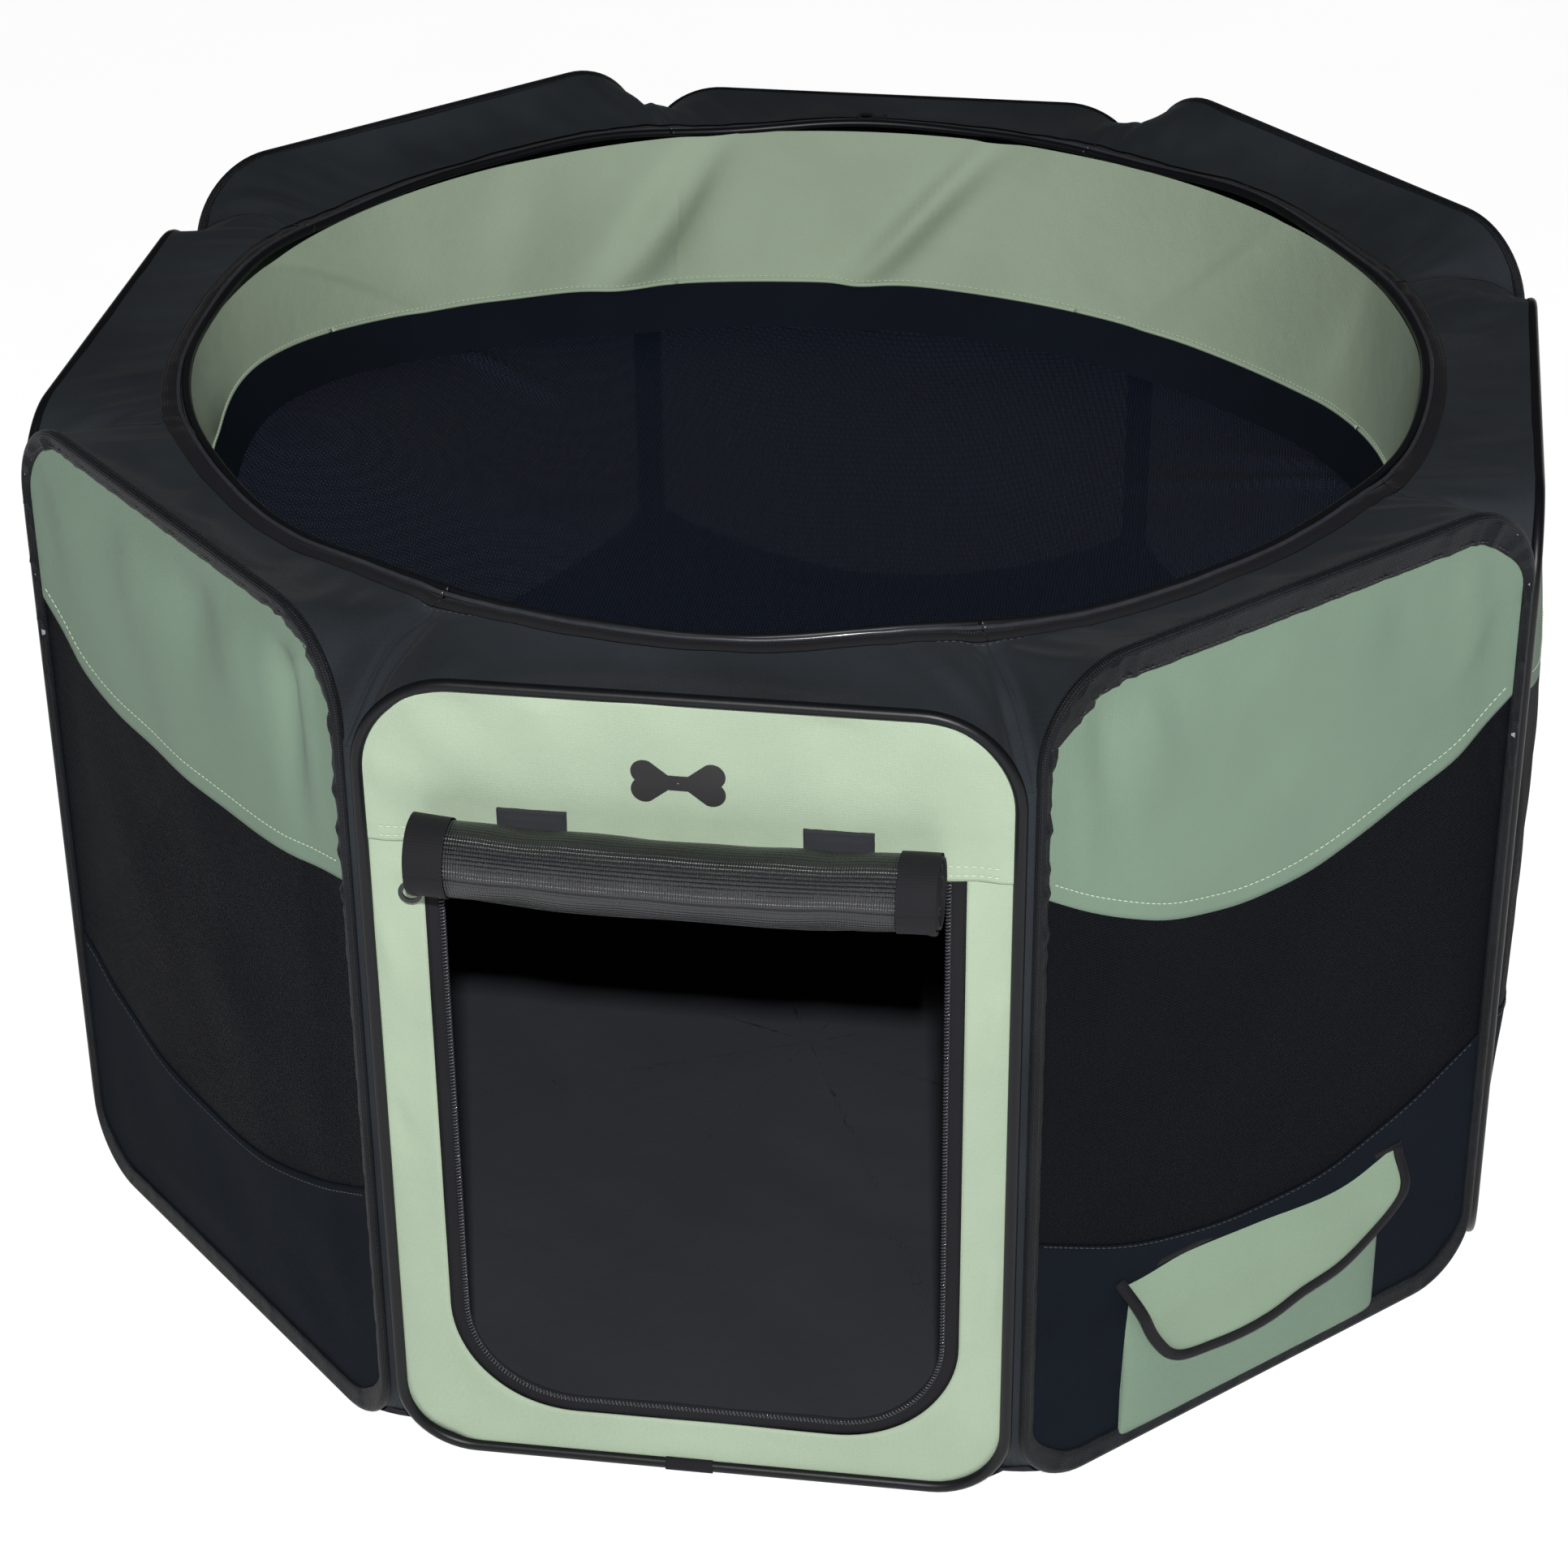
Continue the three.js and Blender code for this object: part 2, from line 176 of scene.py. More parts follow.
def sweep(name, path, across, away, section, material, closed=True, caps=False):
    """A section of (across, away) pairs carried along a path; across and away are directions at each point."""
    path, across, away = (np.asarray(x, float) for x in (path, across, away))
    section = np.asarray(section, float)
    points = (path[:, None, :] + across[:, None, :] * section[None, :, 0, None]
              + away[:, None, :] * section[None, :, 1, None])
    rows, columns = points.shape[:2]
    faces = quads(rows, columns, round_columns=True, round_rows=closed).tolist()
    if caps and not closed:
        faces += [list(range(columns))[::-1], [(rows - 1) * columns + i for i in range(columns)]]
    uv = np.stack(np.meshgrid(run_along(path), run_along(section), indexing="ij"), axis=-1)
    return mesh_piece(name, points, faces, material, uv)


def rounded_section(radius, sides=12):
    turn = np.linspace(0, math.tau, sides, endpoint=False)
    return np.stack([radius * np.cos(turn), radius * np.sin(turn)], axis=-1)


def smoothstep(x):
    x = np.clip(x, 0, 1)
    return x * x * (3 - 2 * x)


def between(start, end, t):
    return start * (1 - t) + end * t


def pairs(*parts):
    """Arrays that stretch to one shape, side by side in a last axis."""
    return np.stack(np.broadcast_arrays(*parts), axis=-1)


def run_along(line):
    """The distance run at each point of a line, from its start."""
    return np.concatenate([[0], np.cumsum(np.linalg.norm(np.diff(line, axis=0), axis=1))])


def everywhere(direction, path):
    """One direction, given at every point of a path."""
    return np.broadcast_to(np.array(direction, float), path.shape)


def dress(piece, slot, body, *nodes):
    """What every piece needs: the plain solids it stands for are hidden, and it joins the body it moves with.
    The slot is not used.
    """
    if nodes:
        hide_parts(*nodes)
    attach(piece, body)
    return piece


print("helpers ready")

# %% [markdown]
# ## Finishes
# Each finish is a small node tree. Woven cloth is two sine waves, one along each thread direction, read from
# the UV map in metres, so the thread count is real. Slow noise varies the colour a little, as dye and handling
# do. A constant always goes straight on the shader's own socket.

# %% Node helpers
def finish(name):
    material = bpy.data.materials.new(name)
    material.use_nodes = True
    nodes = material.node_tree.nodes
    return material, nodes, material.node_tree.links, nodes["Principled BSDF"]


def maths(nodes, links, operation, a, b=None):
    """A Math node; a and b are sockets or numbers."""
    node = nodes.new("ShaderNodeMath")
    node.operation = operation
    for socket, value in zip(node.inputs, (a, b)):
        if value is None:
            continue
        if isinstance(value, (int, float)):
            socket.default_value = value
        else:
            links.new(value, socket)
    return node.outputs[0]


def threads(nodes, links, pitch_u, pitch_v):
    """Two waves across the cloth, one for each thread direction, from 0 to 1."""
    uv = nodes.new("ShaderNodeUVMap")
    uv.uv_map = "cloth"
    split = nodes.new("ShaderNodeSeparateXYZ")
    links.new(uv.outputs[0], split.inputs[0])
    waves = []
    for axis, pitch in ((0, pitch_u), (1, pitch_v)):
        turned = maths(nodes, links, "MULTIPLY", split.outputs[axis], math.tau / pitch)
        wave = maths(nodes, links, "SINE", turned)
        waves.append(maths(nodes, links, "MULTIPLY_ADD", wave, 0.5))
        waves[-1].node.inputs[2].default_value = 0.5
    return waves


def noise(nodes, links, scale, detail=3.0, roughness=0.55):
    place_at = nodes.new("ShaderNodeTexCoord")
    node = nodes.new("ShaderNodeTexNoise")
    node.inputs["Scale"].default_value = scale
    node.inputs["Detail"].default_value = detail
    node.inputs["Roughness"].default_value = roughness
    links.new(place_at.outputs["Object"], node.inputs["Vector"])
    return node.outputs["Fac"]


def ramp(nodes, links, source, stops):
    """A colour ramp from (position, colour) stops."""
    node = nodes.new("ShaderNodeValToRGB")
    links.new(source, node.inputs[0])
    elements = node.color_ramp.elements
    while len(elements) < len(stops):
        elements.new(0.5)
    for element, (at, colour) in zip(elements, stops):
        element.position = at
        element.color = (*colour, 1)
    return node.outputs[0]


def bump(nodes, links, shader, height, distance, strength=1.0, before=None):
    node = nodes.new("ShaderNodeBump")
    node.inputs["Distance"].default_value = distance
    node.inputs["Strength"].default_value = strength
    links.new(height, node.inputs["Height"])
    if before is not None:
        links.new(before, node.inputs["Normal"])
    links.new(node.outputs[0], shader.inputs["Normal"])
    return node.outputs[0]


def srgb(r, g, b):
    """A colour given as it looks on screen, from 0 to 255, as the shader wants it."""
    return tuple(c / 255 / 12.92 if c <= 10 else ((c / 255 + 0.055) / 1.055) ** 2.4 for c in (r, g, b))


def shade(colour, factor):
    return tuple(min(1.0, c * factor) for c in colour)


def settle(shader, values):
    """Set some of the shader's own sockets to constants."""
    for socket, value in values.items():
        shader.inputs[socket].default_value = value


print("node helpers ready")

# %% [markdown]
# ## Finishes
# Three recipes cover almost everything. Woven cloth is two sets of threads that cross: their height makes a
# bump, and slow and fine noise keep the colour from being even. Netting is the same with holes between the
# yarns, which let some of what is behind show. The third recipe is for painted, moulded and drawn surfaces.
# Every recipe works from the metres on the piece's own UV map, so a thread is the same size everywhere.

# %% Woven finishes
def woven(name, colour, pitch, relief, variation=0.07, roughness=0.8, sheen=0.02, gloss=0.2, slub=0.25):
    """Plain-weave cloth: crossing threads for relief, slow noise for colour, fine noise for uneven yarn."""
    material, nodes, links, shader = finish(name)
    warp, weft = threads(nodes, links, pitch, pitch)
    weave = maths(nodes, links, "MAXIMUM", warp, weft)
    yarn = noise(nodes, links, 1400.0, 1.0)
    height = maths(nodes, links, "MULTIPLY_ADD", yarn, slub)
    links.new(weave, height.node.inputs[2])
    cloud = noise(nodes, links, 9.0, 4.0)
    speck = maths(nodes, links, "MULTIPLY_ADD", yarn, 0.35)
    links.new(cloud, speck.node.inputs[2])
    stops = [(0.3, shade(colour, 1 - variation)), (0.95, shade(colour, 1 + variation))]
    links.new(ramp(nodes, links, speck, stops), shader.inputs["Base Color"])
    settle(shader, {"Roughness": roughness, "Sheen Weight": sheen, "Sheen Roughness": 0.4,
                    "Specular IOR Level": gloss})
    soft = bump(nodes, links, shader, noise(nodes, links, 60.0, 3.0), 0.0012, 0.35)
    bump(nodes, links, shader, height, relief, 0.7, before=soft)
    return material


COARSE = {"pitch": 0.0009, "relief": 0.00012}
SAGE = woven("sage coated polyester", srgb(149, 164, 143), variation=0.11, **COARSE)
# A darker copy of the same sage cloth: painted shade for the side panels and the pocket bag, which face away
# from the front light.
SAGE_SHADED_COPY = woven("sage coated polyester, painted shade for side panels", srgb(110, 130, 113), **COARSE)
# A mid copy of the same sage cloth, darker than the header's: painted shade for the pocket flap.
SAGE_FLAP_SHADED_COPY = woven("sage coated polyester, painted shade for flap", srgb(130, 149, 128), **COARSE)
CHARCOAL = woven("charcoal polyester", srgb(38, 42, 46), 0.0009, 0.00015, variation=0.45, gloss=0.08)
NAVY_BLACK = woven("black skirt polyester", srgb(17, 22, 29), variation=0.2, sheen=0.0, gloss=0.04, **COARSE)
FLOOR_CLOTH = woven("charcoal floor cloth", srgb(51, 52, 57), 0.0011, 0.00015, variation=0.12, gloss=0.1)
TAPE = woven("black grosgrain tape", srgb(24, 24, 27), 0.0014, 0.0002, variation=0.25, gloss=0.15)
# Its strong colour speckle is painted sheen: lighter flecks that stand in for glints along the binding.
SLEEVE = woven("black binding", srgb(13, 15, 19), 0.0012, 0.0004, variation=0.9, roughness=0.5, gloss=0.16,
               slub=0.9)


def netting(name, colour, roughness, glint, pitch_u, pitch_v, openness=0.0):
    """Vinyl-coated mesh: holes between shiny crossing yarns, seen through as far as openness says."""
    material, nodes, links, shader = finish(name)
    warp, weft = threads(nodes, links, pitch_u, pitch_v)
    yarn = maths(nodes, links, "MAXIMUM", warp, weft)
    crossing = maths(nodes, links, "MULTIPLY", warp, weft)
    tint = ramp(nodes, links, yarn, [(0.35, shade(colour, 0.25)), (0.8, colour)])
    links.new(tint, shader.inputs["Base Color"])
    settle(shader, {"Roughness": roughness, "Specular IOR Level": glint})
    if openness:
        solid = maths(nodes, links, "SUBTRACT", 1.0, openness)
        holes = maths(nodes, links, "MULTIPLY_ADD", yarn, openness * 1.2)
        links.new(solid, holes.node.inputs[2])
        links.new(holes, shader.inputs["Alpha"])
    height = maths(nodes, links, "ADD", yarn, crossing)
    soft = bump(nodes, links, shader, noise(nodes, links, 45.0, 3.0), 0.001, 0.3)
    bump(nodes, links, shader, height, 0.0004, 0.8, before=soft)
    return material


WINDOW = netting("black window mesh", srgb(14, 16, 22), 0.7, 0.06, 0.0012, 0.0016, openness=0.15)
COVER_NET = netting("black cover net", srgb(22, 28, 44), 0.6, 0.1, 0.0016, 0.0019, openness=0.42)
DOOR_MESH = netting("black door mesh", srgb(27, 28, 32), 0.3, 0.7, 0.0012, 0.0019)


def plain(name, colour, roughness, metallic=0.0, coat=0.0, gloss=0.5, grain=200.0, relief=0.0002):
    """A moulded, painted or drawn surface with a fine irregular grain."""
    material, nodes, links, shader = finish(name)
    cloud = noise(nodes, links, grain, 3.0)
    tint = ramp(nodes, links, cloud, [(0.3, shade(colour, 0.85)), (0.75, shade(colour, 1.15))])
    links.new(tint, shader.inputs["Base Color"])
    settle(shader, {"Roughness": roughness, "Metallic": metallic, "Coat Weight": coat,
                    "Specular IOR Level": gloss})
    bump(nodes, links, shader, cloud, relief, 0.3)
    return material


PIPING = plain("glossy black piping", srgb(12, 13, 16), 0.4, gloss=0.25)
STEEL = plain("spring steel", srgb(150, 152, 156), 0.32, metallic=1.0, grain=900.0)
ENAMEL = plain("black enamelled metal", srgb(30, 30, 33), 0.3, metallic=0.4, coat=0.4)
TEETH = plain("black nylon zip teeth", srgb(48, 49, 54), 0.25, coat=0.5)
HOOKS = plain("hook and loop", srgb(36, 38, 42), 0.95, grain=1500.0, relief=0.0012)
THREAD_SAGE = plain("pale thread", srgb(186, 201, 178), 0.6, grain=2500.0)
THREAD_BLACK = plain("black thread", srgb(52, 53, 57), 0.5, grain=2500.0)
PRINT = plain("black screen print", srgb(28, 28, 30), 0.6, grain=600.0)
print(len(bpy.data.materials), "materials")

# %% [markdown]
# ## Camera, floor and light
# The camera stands where a person looking at the pen would: in front, a little to the right, looking down
# at about thirty degrees through a long lens. A key light from the front, a little above the camera, throws the
# header's shadow on the floor inside the doorway. It is close, so the far side of the pen is dimmer than the
# near side. The floor glows a little, as a lit studio table does, which keeps it pale all the way back.

# %% Camera and light
camera_data = bpy.data.cameras.new("camera")
camera_data.lens = 89.56
camera_data.sensor_width = 36.0
camera = bpy.data.objects.new("camera", camera_data)
bpy.context.scene.collection.objects.link(camera)
CAMERA_PLACE = Vector((0.2664, -1.8152, 1.2488))
CAMERA_YAW, CAMERA_PITCH, CAMERA_ROLL = map(math.radians, (-8.754, 30.383, -0.557))
ahead = Vector((math.sin(CAMERA_YAW) * math.cos(CAMERA_PITCH), math.cos(CAMERA_YAW) * math.cos(CAMERA_PITCH),
                -math.sin(CAMERA_PITCH)))
level = Vector((math.cos(CAMERA_YAW), -math.sin(CAMERA_YAW), 0))
above = level.cross(ahead)
right = level * math.cos(CAMERA_ROLL) + above * math.sin(CAMERA_ROLL)
up = above * math.cos(CAMERA_ROLL) - level * math.sin(CAMERA_ROLL)
camera.matrix_world = Matrix.Translation(CAMERA_PLACE) @ Matrix((right, up, -ahead)).transposed().to_4x4()
bpy.context.scene.camera = camera


def key_light(place_at, aim, size, power):
    data = bpy.data.lights.new("key", "AREA")
    data.size = size
    data.energy = power
    light = bpy.data.objects.new("key", data)
    light.location = place_at
    light.rotation_euler = (Vector(aim) - Vector(place_at)).to_track_quat("-Z", "Y").to_euler()
    bpy.context.scene.collection.objects.link(light)


key_light(place_at=(0.31, -2.05, 1.62), aim=(0, -0.1, 0.25), size=0.06, power=66)
world = bpy.data.worlds.new("studio")
world.use_nodes = True
settle(world.node_tree.nodes["Background"], {"Color": (1, 1, 1, 1), "Strength": 0.05})
bpy.context.scene.world = world
bpy.context.scene.view_settings.view_transform = "Standard"

GROUND_LEVEL = -0.0006
ground_points = place(FRONT, [-9, 9, 9, -9], [9, 9, -18, -18], GROUND_LEVEL)
paper = plain("studio paper", (0.2, 0.2, 0.2), 0.9, grain=3.0)
settle(paper.node_tree.nodes["Principled BSDF"], {"Emission Color": (1, 1, 1, 1), "Emission Strength": 0.93})
ground = mesh_piece("studio_floor", ground_points, [[0, 1, 2, 3]], paper)
ground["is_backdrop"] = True
print("camera at", tuple(round(c, 3) for c in camera.location))

# %% [markdown]
# ## How cloth hangs in a hoop
# A panel is stretched on its hoop, so it is tight at the edge and slack in the middle. Its shape is a height
# above the panel's plane: a broad swell, slow ripples and a few creases, all fading to nothing at the hoop.
# Working it out as one function of u and z means that the valance, window and skirt meet exactly at their
# seams, as sewn cloth does.

# %% Cloth relief
INSIDE_WIRE = 0.0015
CLOTH_SIDE = HOOP_SIDE - INSIDE_WIRE
CLOTH, THICK_CLOTH = 0.0006, 0.0008
HELD = 0.012
SWELL = {0: 0.0015, 1: 0.005, 2: 0.016, 3: 0.006, 4: 0.004, 5: 0.005, 6: 0.011, 7: 0.005}


def ripples(seed, u, z, wave, height):
    """Slow irregular waves: a few sines in different directions."""
    draw = random.Random(seed)
    total = np.zeros(np.broadcast(u, z).shape)
    for _ in range(5):
        angle, phase = draw.uniform(0, math.pi), draw.uniform(0, math.tau)
        length = wave * draw.uniform(0.7, 1.6)
        total += np.sin((u * math.cos(angle) + z * math.sin(angle)) * math.tau / length + phase)
    return height * total / 5


def crease(u, z, start, end, width, height):
    """A ridge along a line, round at the top and fading towards its far end."""
    (u0, z0), (u1, z1) = start, end
    du, dz = u1 - u0, z1 - z0
    run = math.hypot(du, dz)
    t = np.clip(((u - u0) * du + (z - z0) * dz) / run ** 2, 0, 1)
    away = np.hypot(u - u0 - t * du, z - z0 - t * dz)
    return height * np.exp(-(away / (width * (1 + 0.8 * t))) ** 2) * (1 - smoothstep(t))


def panel_creases(k):
    """Creases that run in from the corners and from the top edge of panel k."""
    draw = random.Random(40 + k)
    top = wire_top(k)
    found = []
    for side in (-1, 1):
        for _ in range(3):
            reach = draw.uniform(0.05, 0.11)
            angle = draw.uniform(0.5, 1.3)
            start = (side * (CLOTH_SIDE - draw.uniform(0, 0.035)), top - draw.uniform(0.012, 0.05))
            end = (start[0] - side * reach * math.cos(angle), start[1] - reach * math.sin(angle))
            width = draw.uniform(0.006, 0.011)
            found.append((start, end, width, draw.choice((-1, 1)) * draw.uniform(0.001, 0.0022)))
    for _ in range(4):
        start = (draw.uniform(-0.09, 0.09), top - 0.004)
        end = (start[0] + draw.uniform(-0.05, 0.05), top - draw.uniform(0.05, 0.1))
        width = draw.uniform(0.008, 0.014)
        found.append((start, end, width, draw.choice((-1, 1)) * draw.uniform(0.0008, 0.0018)))
    return found


CREASES = {k: panel_creases(k) for k in range(SIDES)}
CREASES[7] += [
    ((0.121, 0.428), (0.133, 0.300), 0.0065, 0.0065), ((0.102, 0.420), (0.119, 0.300), 0.009, -0.0075),
    ((0.065, 0.440), (0.060, 0.340), 0.013, 0.004), ((0.030, 0.440), (0.012, 0.340), 0.012, -0.004),
    ((-0.040, 0.440), (-0.030, 0.350), 0.012, 0.003)]
CREASES[1] += [
    ((-0.132, 0.400), (-0.120, 0.300), 0.006, 0.004), ((-0.118, 0.425), (-0.098, 0.320), 0.007, -0.0035),
    ((-0.095, 0.436), (-0.070, 0.350), 0.008, 0.003), ((0.110, 0.430), (0.120, 0.350), 0.009, 0.003)]
CREASES[4] += [
    ((0.110, 0.420), (0.040, 0.300), 0.012, 0.005), ((0.075, 0.425), (0.020, 0.320), 0.012, -0.004)]
CREASES[3] += [
    ((0.135, 0.430), (0.090, 0.310), 0.012, 0.006), ((0.100, 0.430), (0.060, 0.320), 0.010, -0.004)]


def relief(k, u, z):
    """How far panel k's cloth stands out of its plane."""
    u, z = np.asarray(u, float), np.asarray(z, float)
    top = wire_top(k)
    edge = np.minimum(CLOTH_SIDE - np.abs(u), np.minimum(top - z, z))
    hold = smoothstep((edge - HELD) / 0.03)
    swell = SWELL[k] * (1 - (u / CLOTH_SIDE) ** 2) * np.sin(np.clip(z / top, 0, 1) * math.pi) ** 0.8
    slack = ripples(k, u, z, 0.11, 0.0016) + ripples(k + 20, u, z, 0.045, 0.0005)
    folds = sum(crease(u, z, *c) for c in CREASES[k])
    return hold * (swell + slack + folds)


def arc(u, end, middle):
    """A hem that sags from its ends to its middle."""
    return middle + (end - middle) * (np.asarray(u) / CLOTH_SIDE) ** 2


HEM_POINTS = {1: ((-0.149, -0.118, -0.074, -0.029, 0.016, 0.067, 0.1085, 0.139, 0.149),
                  (0.3405, 0.320, 0.301, 0.2926, 0.2953, 0.310, 0.322, 0.340, 0.346)),
              7: ((-0.149, -0.102, -0.061, -0.02, 0.035, 0.088, 0.149),
                  (0.349, 0.3215, 0.3143, 0.3123, 0.3111, 0.3122, 0.3215))}


def hem_line(k, u):
    """The valance's lower edge: an even arc, except on the two panels that were cut less evenly."""
    if k not in HEM_POINTS:
        return arc(u, HEM_END, HEM_MIDDLE)
    at, level = HEM_POINTS[k]
    fine = np.linspace(at[0], at[-1], 81)
    soft = np.interp(fine, at, level)
    for _ in range(12):
        soft[1:-1] = (soft[:-2] + soft[1:-1] + soft[2:]) / 3
    return np.interp(u, fine, soft)


def head_line(k, u):
    """The cloth's upper edge under the hoop's rounded top corners."""
    top = wire_top(k) - INSIDE_WIRE
    past = np.clip(np.abs(u) - (HOOP_SIDE - CROWN), 0, CROWN - INSIDE_WIRE)
    return top - CROWN + np.sqrt(CROWN ** 2 - past ** 2)


def foot_line(u):
    past = np.clip(np.abs(u) - (HOOP_SIDE - HEEL), 0, HEEL - INSIDE_WIRE)
    return WIRE_FOOT + INSIDE_WIRE + HEEL - np.sqrt(HEEL ** 2 - past ** 2)


def columns():
    """Places along a panel, closer together near the rounded corners."""
    middle = np.linspace(-(HOOP_SIDE - CROWN), HOOP_SIDE - CROWN, 52)
    bend = HOOP_SIDE - CROWN + CROWN * np.sin(np.linspace(0, math.pi / 2, 14))[1:]
    bend = np.minimum(bend, CLOTH_SIDE)
    return np.concatenate([-bend[::-1], middle, bend])


COLUMNS = columns()


def hung_band(name, k, low, high, rows, material, proud=0.0, thickness=CLOTH):
    """A band of panel k's cloth between two lines, lying the given distance proud of the relief."""
    z = between(low[None, :], high[None, :], np.linspace(0, 1, rows)[:, None])
    u = np.broadcast_to(COLUMNS[None, :], z.shape)
    return grid_piece(name, place(k, u, relief(k, u, z) + proud, z), material, pairs(u, z), thickness)


print("cloth columns:", len(COLUMNS))

# %% [markdown]
# ## Plain panels
# Seven panels are alike: a sage valance with a hem that sags, a black mesh window, and a charcoal skirt whose
# seam sags the same way. The valance and the skirt are sewn on top of the mesh, so each stands proud of it by
# its own thickness.

# %% Plain panels
LAP, HEAD_IN, FOOT_LAP = 0.004, 0.014, 0.01


def make_plain_panel(k):
    label, body = NAMES[k], f"panel_{NAMES[k]}"
    hem, seam = hem_line(k, COLUMNS), arc(COLUMNS, SEAM_END, SEAM_MIDDLE)
    width, tall = 2 * CLOTH_SIDE, wire_top(k) - HEM_MIDDLE - HEAD_IN
    foot, head = foot_line(COLUMNS), head_line(k, COLUMNS)
    # The valance uses the darker sage copy, painted shade.
    for part, low, high, rows, finish_of, slot, proud, thickness, length in (
            ("valance", hem, head, 44, SAGE_SHADED_COPY, "sage_fabric", CLOTH, CLOTH, tall),
            ("window", seam - LAP, hem + LAP, 60, WINDOW, "black_mesh", 0, 0, HEM_END - SEAM_END),
            ("skirt", foot, seam, 36, NAVY_BLACK, "charcoal_fabric", CLOTH, CLOTH, SEAM_MIDDLE + FOOT_LAP)):
        piece = hung_band(f"cloth_{part}_{label}", k, low, high, rows, finish_of, proud, thickness)
        dress(piece, slot, body, f"{part}_{label}")


for k in range(1, SIDES):
    make_plain_panel(k)
print("plain panels:", SIDES - 1)

# %% [markdown]
# ## Hoop sleeves
# The wire hides in a sleeve sewn round each panel. The four square-on panels have narrow glossy piping. The
# four diagonal ones have a wide black binding folded over the wire, and it creases where it turns the corner.
# Both are a section swept round the hoop's outline.

# %% Hoop sleeves
PATH_STEP = 0.004


def hoop_path(k):
    """The wire's centre line round panel k, with the direction away from the hoop's middle at each point."""
    top, side = wire_top(k), HOOP_SIDE
    points, normals = [], []

    def straight(a, b, normal):
        count = max(2, int(math.dist(a, b) / PATH_STEP))
        for i in range(count):
            t = i / count
            points.append((a[0] + (b[0] - a[0]) * t, a[1] + (b[1] - a[1]) * t))
            normals.append(normal)

    def bend(centre, radius, start):
        count = max(6, int(radius * math.pi / 2 / PATH_STEP))
        for i in range(count):
            angle = start + math.pi / 2 * i / count
            normals.append((math.cos(angle), math.sin(angle)))
            points.append((centre[0] + radius * math.cos(angle), centre[1] + radius * math.sin(angle)))

    straight((-side + HEEL, WIRE_FOOT), (side - HEEL, WIRE_FOOT), (0, -1))
    bend((side - HEEL, WIRE_FOOT + HEEL), HEEL, -math.pi / 2)
    straight((side, WIRE_FOOT + HEEL), (side, top - CROWN), (1, 0))
    bend((side - CROWN, top - CROWN), CROWN, 0)
    straight((side - CROWN, top), (-side + CROWN, top), (0, 1))
    bend((-side + CROWN, top - CROWN), CROWN, math.pi / 2)
    straight((-side, top - CROWN), (-side, WIRE_FOOT + HEEL), (-1, 0))
    bend((-side + HEEL, WIRE_FOOT + HEEL), HEEL, math.pi)
    return np.array(points), np.array(normals)


PIPING_OUT, BINDING_NOSE = 0.003, 0.0031
BINDING_WIDTH, HALF_IN = 0.0125, 0.55
BINDING_TOP = {1: 0.0125, 3: 0.009, 5: 0.009, 7: 0.0065}
BINDING_SIDE, BINDING_FOOT = 0.0038, 0.0095


def binding_width(k, z):
    """How far panel k's binding reaches in: wide along the top and foot, narrow down the sides."""
    high = smoothstep((z - (wire_top(k) - CROWN)) / (0.8 * CROWN))
    low = smoothstep((WIRE_FOOT + HEEL - z) / (0.8 * HEEL))
    return BINDING_SIDE + (BINDING_TOP[k] - BINDING_SIDE) * high + (BINDING_FOOT - BINDING_SIDE) * low


def make_sleeve(k):
    label = NAMES[k]
    points, normals = hoop_path(k)
    path = place(k, points[:, 0], 0, points[:, 1])
    across = place(k, normals[:, 0], -APOTHEM, normals[:, 1])
    away = everywhere(outward(k), path)
    section, material, slot = rounded_section(PIPING_OUT), PIPING, "piping"
    if k in BINDING_TOP:
        turn = np.linspace(-0.62 * math.pi, 0.62 * math.pi, 11)
        inner, half = -BINDING_WIDTH, -BINDING_WIDTH * HALF_IN
        section = np.concatenate([[(inner, -0.0012), (half, -0.0019)],
                                  BINDING_NOSE * np.stack([np.cos(turn), np.sin(turn)], axis=-1),
                                  [(half, 0.0021), (inner, 0.0017)]])
        material, slot = SLEEVE, "binding"
    piece = sweep(f"sleeve_{label}", path, across, away, section, material)
    if k in BINDING_TOP:
        pucker_binding(piece, k, points, across, len(section))
    dress(piece, slot, f"panel_{label}")


def pucker_binding(piece, k, points, across, sides):
    """Narrow the binding down the sides, and gather it most where it turns the hoop's corners."""
    draw = random.Random(90 + k)
    phase = [draw.uniform(0, math.tau) for _ in range(3)]
    away = np.array(outward(k))
    mesh = piece.data
    co = np.array([v.co for v in mesh.vertices]).reshape(len(points), sides, 3)
    take_in = (BINDING_WIDTH - binding_width(k, points[:, 1]))[:, None] * across
    for column, share in ((0, 1.0), (-1, 1.0), (1, HALF_IN), (-2, HALF_IN)):
        co[:, column] += take_in * share
    side_gap = (HOOP_SIDE - CROWN) - np.abs(points[:, 0])
    turning = smoothstep(1 - np.clip(side_gap, 0, 0.02) / 0.02) * (points[:, 1] > 0.3)
    run = np.arange(len(points)) * PATH_STEP
    gather = sum(np.sin(run * math.tau / w + p) for w, p in zip((0.011, 0.017, 0.029), phase)) / 3
    lift = (0.0004 + 0.0013 * turning) * gather
    facing = np.zeros(sides)
    facing[-3:] = 1.0
    facing[:2] = -0.6
    co += lift[:, None, None] * facing[None, :, None] * away[None, None, :]
    mesh.vertices.foreach_set("co", co.ravel().astype(np.float32))
    mesh.update()


for k in range(SIDES):
    make_sleeve(k)
    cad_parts[f"hoop_{NAMES[k]}"].data.materials[0] = STEEL
print("sleeves:", SIDES)

# %% [markdown]
# ## Corner webs
# Neighbouring hoops are sewn together by a narrow web of black cloth, which is the pen's hinge. It is a ruled
# strip between the two hoops' edges. Where the frame has a joint the web is one fixed strip over the corner. At
# the one corner where the ring of panels is open in the model, two half webs ride their own panels.

